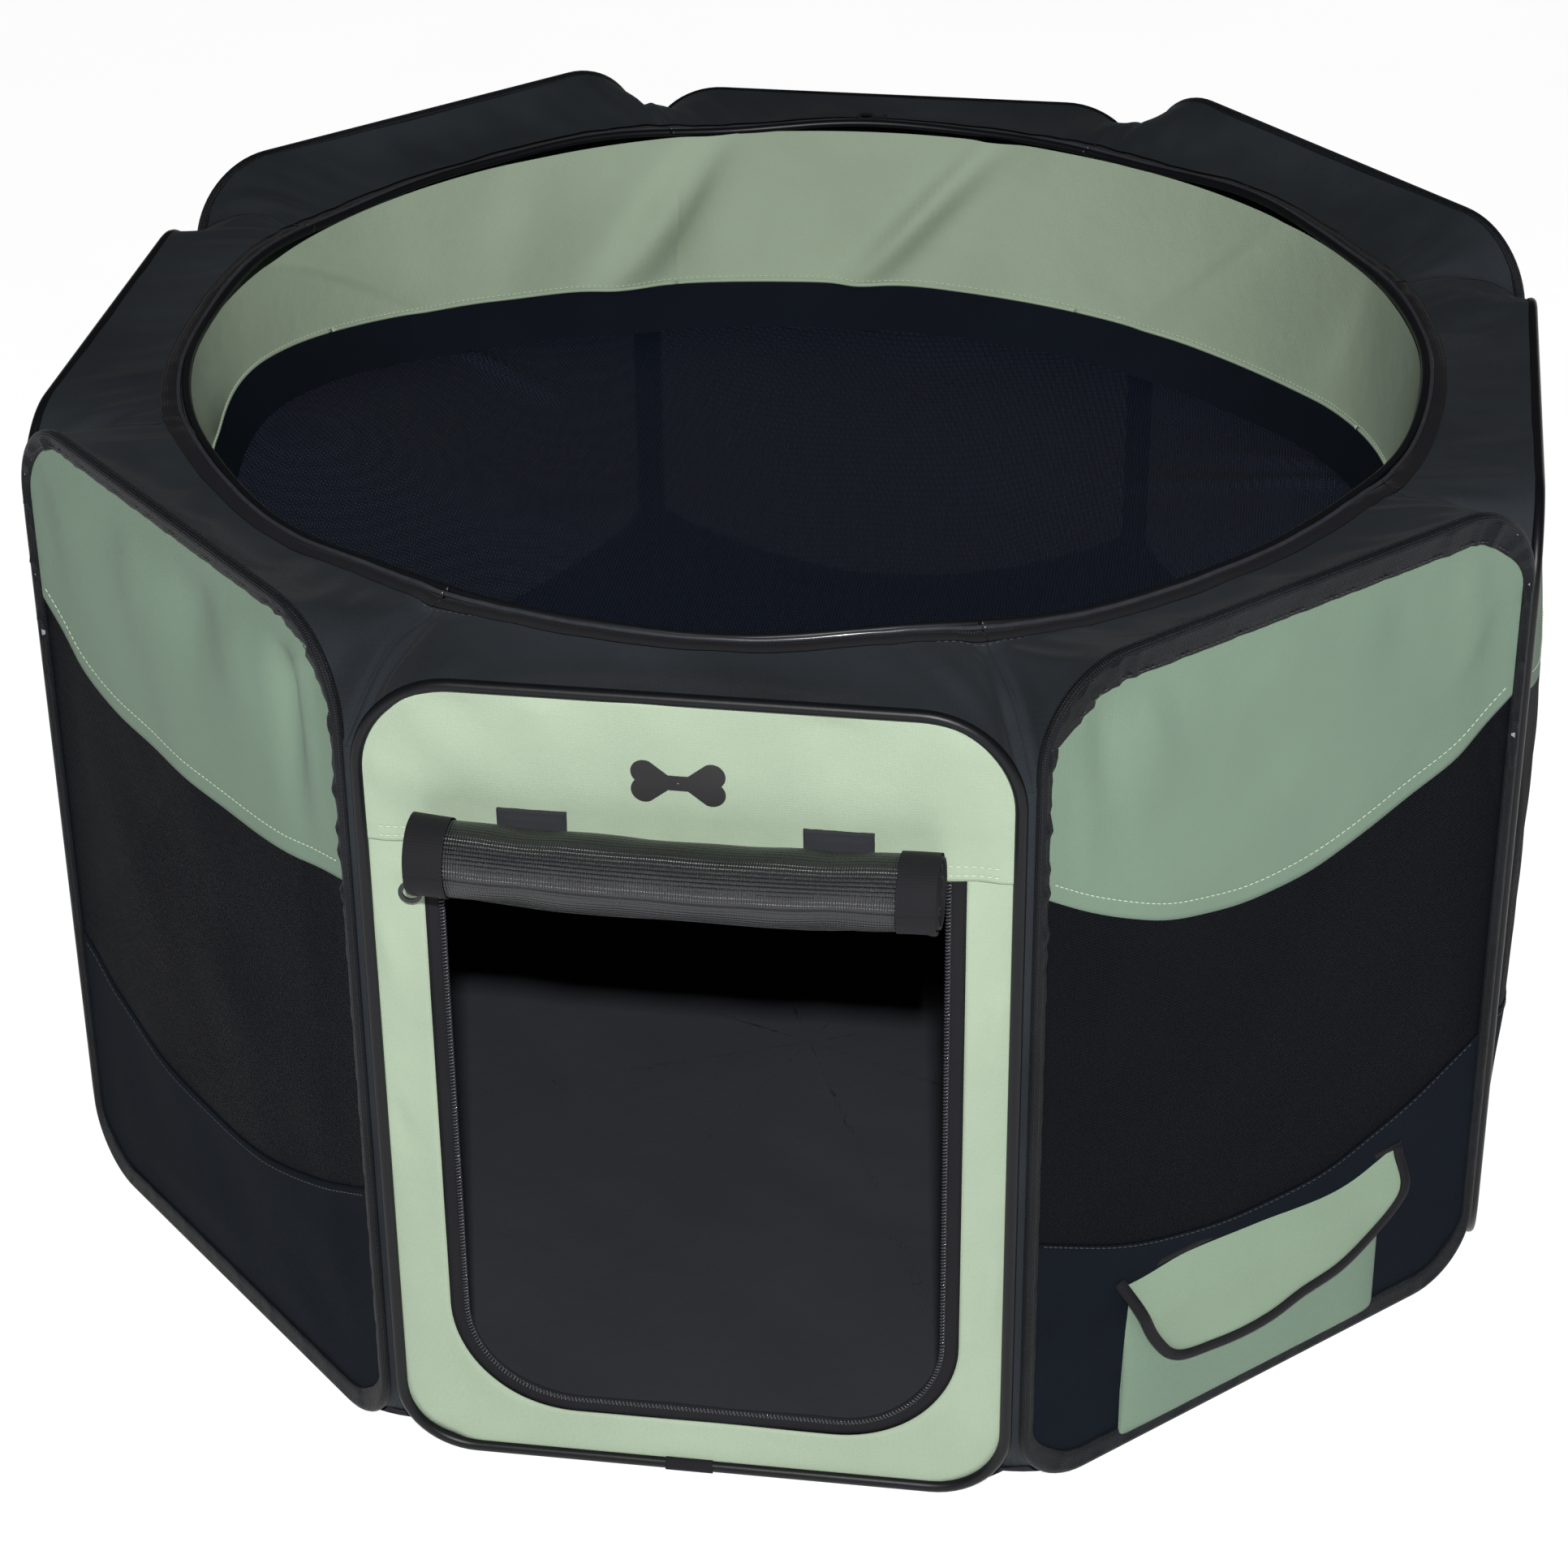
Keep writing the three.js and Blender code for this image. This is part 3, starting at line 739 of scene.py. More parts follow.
# %% Corner webs
OPEN_CORNER = 4
WEB_LOW, WEB_WIDTH, WEB_HELD_ROW = 0.0008, 0.012, 40
CORNER_LEVEL = [0.3945, 0.402, 0.411, 0.418, 0.414, 0.411, 0.402, 0.3945]


def hoop_edge(k, z):
    """How far along panel k its hoop reaches at height z."""
    top = wire_top(k)
    above_heel = np.clip(WIRE_FOOT + HEEL - z, 0, HEEL)
    above_crown = np.clip(z - (top - CROWN), 0, CROWN)
    heel = HOOP_SIDE - HEEL + np.sqrt(HEEL ** 2 - above_heel ** 2)
    crown = HOOP_SIDE - CROWN + np.sqrt(CROWN ** 2 - above_crown ** 2)
    return np.minimum(heel, crown)


def web_points(k, share_low, share_high):
    """The ruled strip from panel k's hoop (share 0) over the corner (share 0.5) to the next hoop (share 1)."""
    z = np.linspace(WEB_LOW, CORNER_LEVEL[k] + 0.0005, 90)[:, None]
    share = np.linspace(share_low, share_high, 7)[None, :]
    here = place(k, hoop_edge(k, z), 0.0, z)
    there = place((k + 1) % SIDES, -hoop_edge((k + 1) % SIDES, z), 0.0, z)
    tuck = 0.9965 - 0.05 * (1 - smoothstep(z / HEEL))
    corner = place(k, CORNER, 0.0, z) * np.stack([tuck, tuck, np.ones_like(tuck)], axis=-1)
    s = share[..., None]
    low_half = here + (corner - here) * np.minimum(2 * s, 1)
    points = np.where(s <= 0.5, low_half, corner + (there - corner) * np.maximum(2 * s - 1, 0))
    return points, pairs(share * WEB_WIDTH, z)


def make_web(k):
    a, b = NAMES[k], NAMES[(k + 1) % SIDES]
    if k != OPEN_CORNER:
        points, uv = web_points(k, 0, 1)
        piece = grid_piece(f"web_{a}_to_{b}", points, CHARCOAL, uv, CLOTH)
        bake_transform(piece)
        return
    for half, (low, high), owner in (("a", (0, 0.5), a), ("b", (0.5, 1), b)):
        points, uv = web_points(k, low, high)
        piece = grid_piece(f"web_{a}_to_{b}_{half}", points, CHARCOAL, uv, CLOTH)
        dress(piece, "charcoal_fabric", f"panel_{owner}")


for k in range(SIDES):
    make_web(k)
print("corner webs:", SIDES)

# %% [markdown]
# ## The collar
# The roof is a wide ring of charcoal cloth. Its outer edge is sewn to the tops of the hoops, so it dips at
# every corner where the hoops round off, and its inner edge runs round a big opening that has a zip. A ring of
# cloth held up only at its rim sags between the hoops, and soft folds run in from the corners.

# %% Collar cloth
OPENING = 0.314
RING_HEIGHT = 0.4325
RIM_RISE, SKIN = 0.0022, 0.0004
COLLAR_SAG, CORNER_LIFT = 0.0045, 0.009


def collar_rim(k, u):
    """The collar's outer edge over panel k: along the hoop's top, then down and out to the pen's corner."""
    u = np.asarray(u, float)
    top = wire_top(k) + RIM_RISE
    past = np.clip(np.abs(u) - (HOOP_SIDE - CROWN), 0, CROWN)
    level = np.where(u < 0, CORNER_LEVEL[k - 1], CORNER_LEVEL[k])
    over_hoop = np.maximum(top - CROWN + np.sqrt(CROWN ** 2 - past ** 2), level)
    near_corner = smoothstep((np.abs(u) - HOOP_SIDE + 0.006) / (CORNER - HOOP_SIDE + 0.006))
    z = over_hoop + (level - over_hoop) * near_corner
    return place(k, u * (1 - SKIN / APOTHEM), -SKIN, z)


def collar_point(k, u, v):
    """The collar over panel k, from the rim (v 0) to the opening (v 1)."""
    rim = collar_rim(k, u)
    angle = np.arctan2(rim[..., 1], rim[..., 0])
    ring = pairs(OPENING * np.cos(angle), OPENING * np.sin(angle), RING_HEIGHT)
    middle = between(rim, ring, v[..., None])
    from_rim = (1 - v) ** 1.6
    level = rim[..., 2] * from_rim + RING_HEIGHT * (1 - from_rim)
    corner = np.clip(np.abs(u) / CORNER, 0, 1)
    sag = -COLLAR_SAG * np.sin(v * math.pi) * (1 - 0.55 * corner ** 2)
    lift = CORNER_LIFT * corner ** 4 * np.sin(np.minimum(v * 1.25, 1) * math.pi)
    wave = (0.0008 * np.sin(angle * 23) + 0.0006 * np.sin(angle * 41 + 2.1)
            + 0.0004 * np.sin(angle * 67 + v * 5)) * np.sin(v * math.pi)
    droop = 0.0016 * np.sin(angle * 9 + 0.7) + 0.0008 * np.sin(angle * 15 + 2.0)
    crinkle = 0.0009 * np.sin(angle * 113 + v * 9) * corner ** 2 * np.sin(v * math.pi)
    z = level + sag + lift + wave + crinkle + droop * smoothstep(v * 1.4 - 0.2)
    return np.stack([middle[..., 0], middle[..., 1], z], axis=-1)


def collar_columns():
    straight = np.linspace(0, HOOP_SIDE - CROWN, 26)
    rounded = np.linspace(HOOP_SIDE - CROWN, CORNER, 26)[1:]
    half = np.concatenate([straight, rounded])
    return np.concatenate([-half[:0:-1], half])


COLLAR_COLUMNS = collar_columns()


def flatten_with_fold(piece, k):
    """The collar and the floor can't fold with the panels; the piece only gets a mesh of its own here."""
    anchor = place(k, 0, -0.001, 0.0)
    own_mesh(piece)


def sector_area(points):
    """The area of a grid of points."""
    a = points[1:, :-1] - points[:-1, :-1]
    b = points[:-1, 1:] - points[:-1, :-1]
    return float(np.linalg.norm(np.cross(a, b), axis=-1).sum())


def make_collar(k):
    label, body = NAMES[k], f"panel_{NAMES[k]}"
    u, v = np.broadcast_arrays(COLLAR_COLUMNS[None, :], np.linspace(0, 1, 26)[:, None])
    points = collar_point(k, u, v)
    uv = pairs(u * (1 - 0.15 * v), 0.07 * v)
    piece = grid_piece(f"cloth_collar_{label}", points, CHARCOAL, uv, THICK_CLOTH)
    dress(piece, "charcoal_fabric", body, f"collar_{label}")
    area = sector_area(points)
    flatten_with_fold(piece, k)
    return area


areas = [make_collar(k) for k in range(SIDES)]
print("collar sectors, square metres each:", [round(a, 4) for a in areas])

# %% [markdown]
# The opening's edge is a bound cord, with a zip tape just outside it and the zip's coil on the tape. Rings like
# these are swept along the collar's own surface, so they rise and fall with its folds.

# %% Opening edge and zip
def collar_line(k, v, rise=0.0):
    """A line along the collar over panel k at a fixed share v of the way in."""
    u = COLLAR_COLUMNS
    line = collar_point(k, u, np.full(u.shape, v))
    line[:, 2] += rise
    return line


def ring_frame(line):
    """Directions across (away from the middle) and away (up) at each point of a line."""
    across = line * np.array([1, 1, 0])
    across /= np.linalg.norm(across, axis=1, keepdims=True)
    return across, everywhere((0, 0, 1), line)


def ring_piece(name, k, v, rise, section, material, slot):
    line = collar_line(k, v, rise)
    across, away = ring_frame(line)
    piece = sweep(f"{name}_{NAMES[k]}", line, across, away, section, material, closed=False, caps=True)
    dress(piece, slot, f"panel_{NAMES[k]}")
    flatten_with_fold(piece, k)


TAPE_SECTION = [(-0.0055, 0.0), (0.0055, 0.0), (0.0055, 0.0009), (-0.0055, 0.0009)]
for k in range(SIDES):
    for name, v, rise, section, material, slot in (
            ("opening_cord", 1.0, SKIN, rounded_section(0.0022, 10), PIPING, "piping"),
            ("zip_tape", 0.90, SKIN, TAPE_SECTION, TAPE, "binding"),
            ("zip_coil", 0.945, 0.0016, rounded_section(0.0013, 8), TEETH, "zip_metal")):
        ring_piece(name, k, v, rise, section, material, slot)
print("opening rings on", SIDES, "sectors")

# %% [markdown]
# ## The floor
# The floor is one octagonal cloth, sewn to the feet of the panels. It lies on the ground, so it only has low,
# slow undulations, held flat along the skirts.

# %% Floor cloth
FLOOR_IN, FLOOR_ROUNDING, FLOOR_LIFT = 0.0012, 0.024, 0.0016


def make_floor(k):
    label = NAMES[k]
    v = np.linspace(0, 1, 40)[:, None]
    u = np.linspace(-CORNER, CORNER, 64)[None, :]
    past_heel = np.clip((np.abs(u) - (HOOP_SIDE - HEEL)) / (CORNER - HOOP_SIDE + HEEL), 0, 1)
    rounding = FLOOR_ROUNDING * past_heel ** 2
    edge = place(k, u, -FLOOR_IN - rounding, 0.0)
    points = edge * (1 - v[..., None])
    x, y = points[..., 0], points[..., 1]
    rolling = ripples(70, x, y, 0.19, 0.0022) + ripples(71, x, y, 0.07, 0.0007)
    hold = smoothstep(v / 0.12)
    points[..., 2] = FLOOR_LIFT + hold * (0.0014 + np.clip(rolling, -0.0018, 0.01))
    piece = grid_piece(f"cloth_floor_{label}", points, FLOOR_CLOTH, pairs(x, y))
    dress(piece, "floor_fabric", f"panel_{label}", f"floor_{label}")
    flatten_with_fold(piece, k)


for k in range(SIDES):
    make_floor(k)
print("floor sectors:", SIDES)

# %% [markdown]
# ## The doorway panel
# The front panel has no window. A sage header hangs across the top, a sage surround frames the doorway, and
# a zip tape edges the opening on both sides and along the sill.

# %% Header and surround
DOOR_MIDDLE, DOOR_REACH, DOOR_SILL, DOOR_BEND = 0.002, 0.1225, 0.030, 0.060
HEADER_SEAM, HEADER_LAP, HEADER_DEEP = 0.351, 0.003, 0.078
ZIP_TAPE = 0.009
HEEL_STARTS, HEEL_ENDS = 0.45, 0.8
FRONT_CREASES = [
    ((-0.136, 0.385), (-0.098, 0.362), 0.009, 0.0022), ((-0.110, 0.428), (-0.075, 0.375), 0.010, -0.0020),
    ((-0.066, 0.430), (-0.050, 0.370), 0.009, 0.0018), ((0.060, 0.430), (0.092, 0.370), 0.011, -0.0018),
    ((0.125, 0.410), (0.105, 0.365), 0.009, 0.0022), ((-0.143, 0.300), (-0.124, 0.240), 0.006, 0.0022),
    ((-0.143, 0.200), (-0.124, 0.150), 0.006, -0.0022), ((0.143, 0.285), (0.124, 0.215), 0.006, 0.0022),
    ((0.143, 0.130), (0.118, 0.045), 0.008, 0.0024), ((-0.125, 0.008), (-0.100, 0.060), 0.008, -0.0020)]
HEADER_SAGS = [
    ((-0.12, 0.42), (-0.06, 0.36), 0.010, 0.0022), ((0.118, 0.420), (0.062, 0.362), 0.009, 0.0024),
    ((-0.02, 0.428), (0.02, 0.358), 0.014, 0.0014)]


def front_relief(u, z):
    """Relief of the front panel: soft at the header, puckered beside the seam, nearly flat elsewhere."""
    pucker = 0.0007 * np.sin(u * math.tau / 0.023 + 1.0) * np.exp(-np.abs(z - HEADER_SEAM) / 0.012)
    sags = sum(crease(u, z, *c) for c in HEADER_SAGS)
    sewn = smoothstep((CLOTH_SIDE - np.abs(u)) / 0.008) * smoothstep((wire_top(FRONT) - z) / 0.010)
    folds = sum(crease(u, z, *c) for c in FRONT_CREASES)
    return relief(FRONT, u, z) + pucker + sags + folds * sewn


def make_header():
    z = between(HEADER_SEAM - HEADER_LAP, head_line(FRONT, COLUMNS), np.linspace(0, 1, 40)[:, None])
    u = np.broadcast_to(COLUMNS, z.shape)
    points = place(FRONT, u, front_relief(u, z) + THICK_CLOTH, z)
    piece = grid_piece("cloth_header", points, SAGE, pairs(u, z), THICK_CLOTH)
    dress(piece, "sage_fabric", "panel_front", "door_header")


def door_outline(inset):
    """The doorway's U from its top left, down, across the sill and up again, moved inwards by inset."""
    reach, sill, bend = DOOR_REACH - inset, DOOR_SILL + inset, DOOR_BEND - inset
    top = HEADER_SEAM
    points = [(-reach, z) for z in np.linspace(top, sill + bend, 60, endpoint=False)]
    points += [(-reach + bend - bend * math.cos(a), sill + bend - bend * math.sin(a))
               for a in np.linspace(0, math.pi / 2, 24, endpoint=False)]
    points += [(u, sill) for u in np.linspace(-reach + bend, reach - bend, 40, endpoint=False)]
    points += [(reach - bend + bend * math.sin(a), sill + bend - bend * math.cos(a))
               for a in np.linspace(0, math.pi / 2, 24, endpoint=False)]
    points += [(reach, z) for z in np.linspace(sill + bend, top, 60)]
    return np.array(points) + np.array([DOOR_MIDDLE, 0])


def surround_outer():
    """Where each point of the doorway's outline meets the hoop: straight out, or round the hoop's heel."""
    side, foot = CLOTH_SIDE, WIRE_FOOT + INSIDE_WIRE
    bend_u, bend_z, heel_z = DOOR_REACH - DOOR_BEND, DOOR_SILL + DOOR_BEND, foot + HEEL
    points = []
    for u, z in door_outline(0):
        sign = 1 if u > DOOR_MIDDLE else -1
        reach = abs(u - DOOR_MIDDLE) - bend_u
        turn = -math.atan2(z - bend_z, reach) / (math.pi / 2)
        if z >= bend_z:
            points.append((sign * side, z))
        elif reach <= 0:
            points.append((u, foot))
        elif turn <= HEEL_STARTS:
            points.append((sign * side, bend_z + (heel_z - bend_z) * turn / HEEL_STARTS))
        elif turn <= HEEL_ENDS:
            bend = (turn - HEEL_STARTS) / (HEEL_ENDS - HEEL_STARTS) * math.pi / 2
            points.append((sign * (side - HEEL + HEEL * math.cos(bend)), heel_z - HEEL * math.sin(bend)))
        else:
            slide = (turn - HEEL_ENDS) / (1 - HEEL_ENDS)
            points.append((sign * between(side - HEEL, bend_u + sign * DOOR_MIDDLE, slide), foot))
    return np.array(points)


def make_surround():
    inner, outer = door_outline(0), surround_outer()
    t = np.linspace(0, 1, 12)[:, None]
    u, z = between(outer[None, :, 0], inner[None, :, 0], t), between(outer[None, :, 1], inner[None, :, 1], t)
    hem = CLOTH * np.exp(-((1 - t) / 0.22) ** 2)
    points = place(FRONT, u, front_relief(u, z) * 0.85 + hem, z)
    piece = grid_piece("cloth_surround", points, SAGE, pairs(u, z), THICK_CLOTH)
    area = sector_area(points)
    dress(piece, "sage_fabric", "panel_front", "door_surround")
    return area


make_header()
print("surround, square metres:", round(make_surround(), 4))

# %% [markdown]
# The doorway's zip is a tape with a coil along its inner edge. The coil is a row of small tight loops, so it is
# modelled as one thin spiral that follows the outline; the light picks out every loop.

# %% Doorway zip
COIL_PITCH, COIL_TURN_STEPS = 0.0018, 6
COIL_WIDE, COIL_HIGH, COIL_THREAD = 0.0013, 0.0010, 0.0004


def door_zip():
    rim, inner = door_outline(0.0), door_outline(ZIP_TAPE)
    t = np.linspace(0, 1, 5)[:, None]
    u, z = between(rim[None, :, 0], inner[None, :, 0], t), between(rim[None, :, 1], inner[None, :, 1], t)
    run = run_along(rim)[None, :]
    points = place(FRONT, u, -0.0004 + 0.0004 * np.sin(run * 90) * t, z)
    tape = grid_piece("door_zip_cloth", points, TAPE, pairs(run, ZIP_TAPE * t), 0.0009)
    dress(tape, "binding", "panel_front", "door_zip_tape")
    line = door_outline(ZIP_TAPE - 0.001)
    length = run_along(line)
    s = np.arange(0, length[-1], COIL_PITCH / COIL_TURN_STEPS)
    u, z = np.interp(s, length, line[:, 0]), np.interp(s, length, line[:, 1])
    slope_u, slope_z = np.gradient(u), np.gradient(z)
    size = np.hypot(slope_u, slope_z)
    side_u, side_z = -slope_z / size, slope_u / size
    turn = s / COIL_PITCH * math.tau
    path = place(FRONT, u + side_u * COIL_WIDE * np.cos(turn), 0.0006 + COIL_HIGH * np.sin(turn),
                 z + side_z * COIL_WIDE * np.cos(turn))
    curve = bpy.data.curves.new("door_zip_coil", "CURVE")
    curve.dimensions = "3D"
    curve.bevel_depth = COIL_THREAD
    curve.bevel_resolution = 0
    spline = curve.splines.new("POLY")
    spline.points.add(len(path) - 1)
    spline.points.foreach_set("co", np.concatenate([path, np.ones((len(path), 1))], axis=1).ravel())
    curve.materials.append(TEETH)
    coil = bpy.data.objects.new("door_zip_coil", curve)
    bpy.context.scene.collection.objects.link(coil)
    dress(coil, "zip_metal", "panel_front")
    return length[-1]


print("doorway zip, metres:", round(door_zip(), 3))

# %% [markdown]
# ## Rolled-up door
# The door is the same mesh as the windows, rolled up and held under the header by two tabs. A rolled cloth
# shows two things: the spiral of its turns at each end, and the hem tape that runs down the door's sides,
# which becomes a thicker ribbed band round each end of the roll.

# %% The roll
ROLL_LOW, ROLL_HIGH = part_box("door_roll")
ROLL_OUT = -(ROLL_LOW.y + ROLL_HIGH.y) / 2 - APOTHEM
ROLL_RISE = (ROLL_LOW.z + ROLL_HIGH.z) / 2
ROLL_LEFT, ROLL_RIGHT = ROLL_LOW.x, ROLL_HIGH.x
ROLL_RADIUS, ROLL_CORE = 0.0178, 0.0165
BAND, BAND_SET_IN = 0.0175, 0.012
WOUND_FROM = -2.0
TAB_MIDDLES = (-0.069, 0.068)


def roll_surface(u, angle, radius):
    """A point of the roll: it sags a little in the middle and is a little squashed by its tabs."""
    share = (u - ROLL_LEFT) / (ROLL_RIGHT - ROLL_LEFT)
    sag = -0.0035 * np.sin(share * math.pi) + 0.0016 * (1 - share)
    pinch = sum(np.exp(-((u - tab) / 0.012) ** 2) for tab in TAB_MIDDLES)
    lumps = 0.015 * np.sin(u * 61 + angle * 2) + 0.012 * np.sin(u * 140 - angle * 3)
    r = radius * (1 - 0.05 * pinch) * (1 + lumps)
    return place(FRONT, u, ROLL_OUT + r * np.cos(angle), ROLL_RISE + sag + r * np.sin(angle))


def roll_part(name, u_from, u_to, base, material, columns_along, flap_lip):
    """A stretch of the roll; the outermost turn ends in a lip that stands a cloth's thickness proud."""
    u = np.linspace(u_from, u_to, columns_along)[:, None]
    angle = np.linspace(0, math.tau, 97)[None, :-1]
    wound = ((angle - WOUND_FROM) % math.tau) / math.tau
    points = roll_surface(u, angle, base + flap_lip * wound)
    faces = quads(*points.shape[:2], round_columns=True)
    return mesh_piece(name, points, faces, material, pairs(u, angle * base))


def spiral_end(name, u, direction):
    """The roll's end: a ribbon wound inwards, each turn set back a little differently."""
    turns = 5.2
    s = np.linspace(0, 1, 260)
    angle = WOUND_FROM + s * turns * math.tau
    radius = between(0.0180, 0.0032, s)
    back = direction * (0.0012 * np.sin(angle * 0.37) - 0.0006 * s)
    rows = np.array([0.0, 0.0012, 0.0045])[:, None]
    width = u - direction * rows + back[None, :] * (rows < 0.004)
    lift = np.array([0.0, 0.0004, 0.0])[:, None]
    points = roll_surface(width, angle[None, :], radius[None, :] + lift)
    piece = grid_piece(name, points, TAPE, pairs(s * 0.3, rows), 0.0011)
    piece.modifiers["cloth thickness"].offset = 0
    return piece


def roll_core(name, u, direction):
    angle = np.linspace(0, math.tau, 33)[:-1]
    rim = roll_surface(np.full(angle.shape, u - direction * 0.004), angle, ROLL_CORE)
    faces = [list(range(len(angle)))]
    return mesh_piece(name, rim, faces, CHARCOAL, pairs(angle, angle) * 0.01, smooth=False)


def on_roll(piece, slot, *nodes):
    dress(piece, slot, "door_roll_up", *nodes)
    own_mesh(piece)


mesh_roll = roll_part("roll_mesh", ROLL_LEFT + BAND_SET_IN, ROLL_RIGHT - BAND_SET_IN,
                      ROLL_RADIUS - THICK_CLOTH, DOOR_MESH, 150, THICK_CLOTH)
on_roll(mesh_roll, "black_mesh", "door_roll")
for side, u, direction in (("left", ROLL_LEFT, -1), ("right", ROLL_RIGHT, 1)):
    inner_u = u - direction * BAND
    band = roll_part(f"roll_band_{side}", min(u, inner_u), max(u, inner_u), ROLL_RADIUS, TAPE, 14, 0.0012)
    on_roll(band, "binding")
    on_roll(spiral_end(f"roll_end_{side}", u, direction), "binding")
    on_roll(roll_core(f"roll_core_{side}", u, direction), "charcoal_fabric")


def make_door_sheet():
    """The top of the door, out of the roll: a short strip behind the roll."""
    top, short, travel, corner, reach = HEADER_SEAM - HEADER_LAP, 0.030, 0.28, 0.058, 0.1145
    s = np.linspace(0, 1, 70)[:, None]
    across = np.linspace(-1, 1, 40)[None, :]
    drawn = top - short * s - travel * smoothstep(s)
    above_foot = np.clip(drawn - (top - short - travel), 0, corner)
    narrowed = reach - corner + np.sqrt(corner ** 2 - (corner - above_foot) ** 2)
    u = -0.002 + across * narrowed
    z = np.broadcast_to(top - short * s, u.shape)
    out = 0.0026 + 0.0003 * np.sin(u * 90 + s * 5)
    points = place(FRONT, u, out, z)
    piece = grid_piece("cloth_door_sheet", points, DOOR_MESH, pairs(u, drawn), CLOTH)
    start, end = place(FRONT, 0, 0, top), place(FRONT, 0, 0, top - short)
    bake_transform(piece)


make_door_sheet()
print("roll radius", ROLL_RADIUS, "length", round(ROLL_RIGHT - ROLL_LEFT, 3))

# %% [markdown]
# ## Tabs
# Each tab is a patch of hook and loop, stitched round its border, standing up behind the roll.

# %% Tabs
def make_tab(node, seed):
    low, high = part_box(node)
    draw = random.Random(seed)
    rows, columns = 18, 24
    u = np.linspace(low.x, high.x, columns)[None, :]
    z = np.linspace(low.z, high.z, rows)[:, None]
    rim = np.minimum(np.minimum(u - low.x, high.x - u), np.minimum(z - low.z, high.z - z))
    pillow = 0.0006 * smoothstep(rim / 0.004) - 0.0005 * np.exp(-((rim - 0.0026) / 0.0007) ** 2)
    fuzz = np.array([[draw.uniform(0, 0.00025) for _ in range(columns)] for _ in range(rows)])
    lean = 0.0008 * ((z - low.z) / (high.z - low.z)) ** 2
    out = -low.y - APOTHEM - THICK_CLOTH
    points = place(FRONT, u, out + pillow + fuzz + lean, z)
    piece = grid_piece(f"cloth_{node}", points, HOOKS, pairs(u, z), 0.0014)
    dress(piece, "binding", "panel_front", node)


make_tab("roll_tab_left", 5)
make_tab("roll_tab_right", 6)
print("tabs: 2")

# %% [markdown]
# ## Pocket
# A small sage pocket hangs on the panel beside the door, for odds and ends. Its flap is cut with a wavy edge,
# bound in black, and sewn on along its top, so it bulges over the pocket and curls.

# %% Pocket
POCKET_LOW, POCKET_HIGH = 0.0064, 0.090
POCKET_MIDDLE, POCKET_REACH, POCKET_DEEP = -0.004, 0.085, 0.010


def pocket_bag():
    """The bag: a cloth box with rounded front corners, open at the top, its mouth a little slack."""
    width = 2 * POCKET_REACH
    t = np.linspace(0, 1, 90)[None, :]
    rise = np.linspace(0, 1, 34)[:, None]
    z = POCKET_LOW + (POCKET_HIGH - POCKET_LOW) * rise
    across = (t - 0.5) * 2
    shoulder = np.clip(1 - np.abs(across) ** 5, 0, 1) ** 0.55
    belly = 0.72 + 0.28 * np.sin(np.clip(rise * 1.15, 0, 1) * math.pi) ** 0.7
    foot = smoothstep(rise / 0.10 + 0.12)
    u = POCKET_MIDDLE + across * width / 2
    out = 0.0016 + (POCKET_DEEP - 0.0028) * shoulder * belly * foot
    out = out + ripples(33, u, z, 0.06, 0.0012) * shoulder * foot
    points = place(POCKET_SIDE, u, out, z)
    # The bag uses the darker sage copy, painted shade.
    piece = grid_piece("cloth_pocket_bag", points, SAGE_SHADED_COPY, pairs(u, z), 0.0012)
    dress(piece, "sage_fabric", "panel_front_right", "pocket_bag")


FLAP_EDGE = np.array([(-0.0945, 0.1045), (-0.0885, 0.0921), (-0.0770, 0.0670), (-0.0600, 0.0480),
                      (-0.0335, 0.0437), (-0.0015, 0.0461), (0.0200, 0.0510), (0.0470, 0.0563),
                      (0.0760, 0.0690), (0.0898, 0.0850), (0.0905, 0.1045)])
FLAP_TOP = 0.1055
BINDING_SECTION = [(-0.0012, -0.0014), (0.0038, -0.0012), (0.0038, 0.0012), (-0.0012, 0.0014), (-0.0019, 0.0)]
STRIP_SECTION = [(-0.0016, -0.0010), (0.0016, -0.0010), (0.0016, 0.0010), (-0.0016, 0.0010)]


def smooth_line(points, count):
    """A smooth curve through the given points, evenly spaced."""
    points = np.asarray(points, float)
    ends = np.vstack([2 * points[0] - points[1], points, 2 * points[-1] - points[-2]])
    found = []
    for i in range(1, len(ends) - 2):
        a, b, c, d = ends[i - 1:i + 3]
        for t in np.linspace(0, 1, 24, endpoint=False):
            found.append(0.5 * (2 * b + (c - a) * t + (2 * a - 5 * b + 4 * c - d) * t ** 2
                                + (3 * b - a - 3 * c + d) * t ** 3))
    found = np.array(found + [points[-1]])
    run = run_along(found)
    at = np.linspace(0, run[-1], count)
    return np.stack([np.interp(at, run, found[:, i]) for i in range(found.shape[1])], axis=-1)


def flap_out(u, z):
    """How far the flap stands out: off the seam, over the pocket's mouth, then hanging with soft waves."""
    fall = np.clip((FLAP_TOP - z) / 0.055, 0, 1)
    over = 0.0026 + 0.0088 * smoothstep(fall * 2.2)
    curl = 0.0016 * fall ** 2 * np.sin(u * 42 + 0.6)
    return over + curl + 0.0006 * np.sin(u * 88 + z * 60) * fall


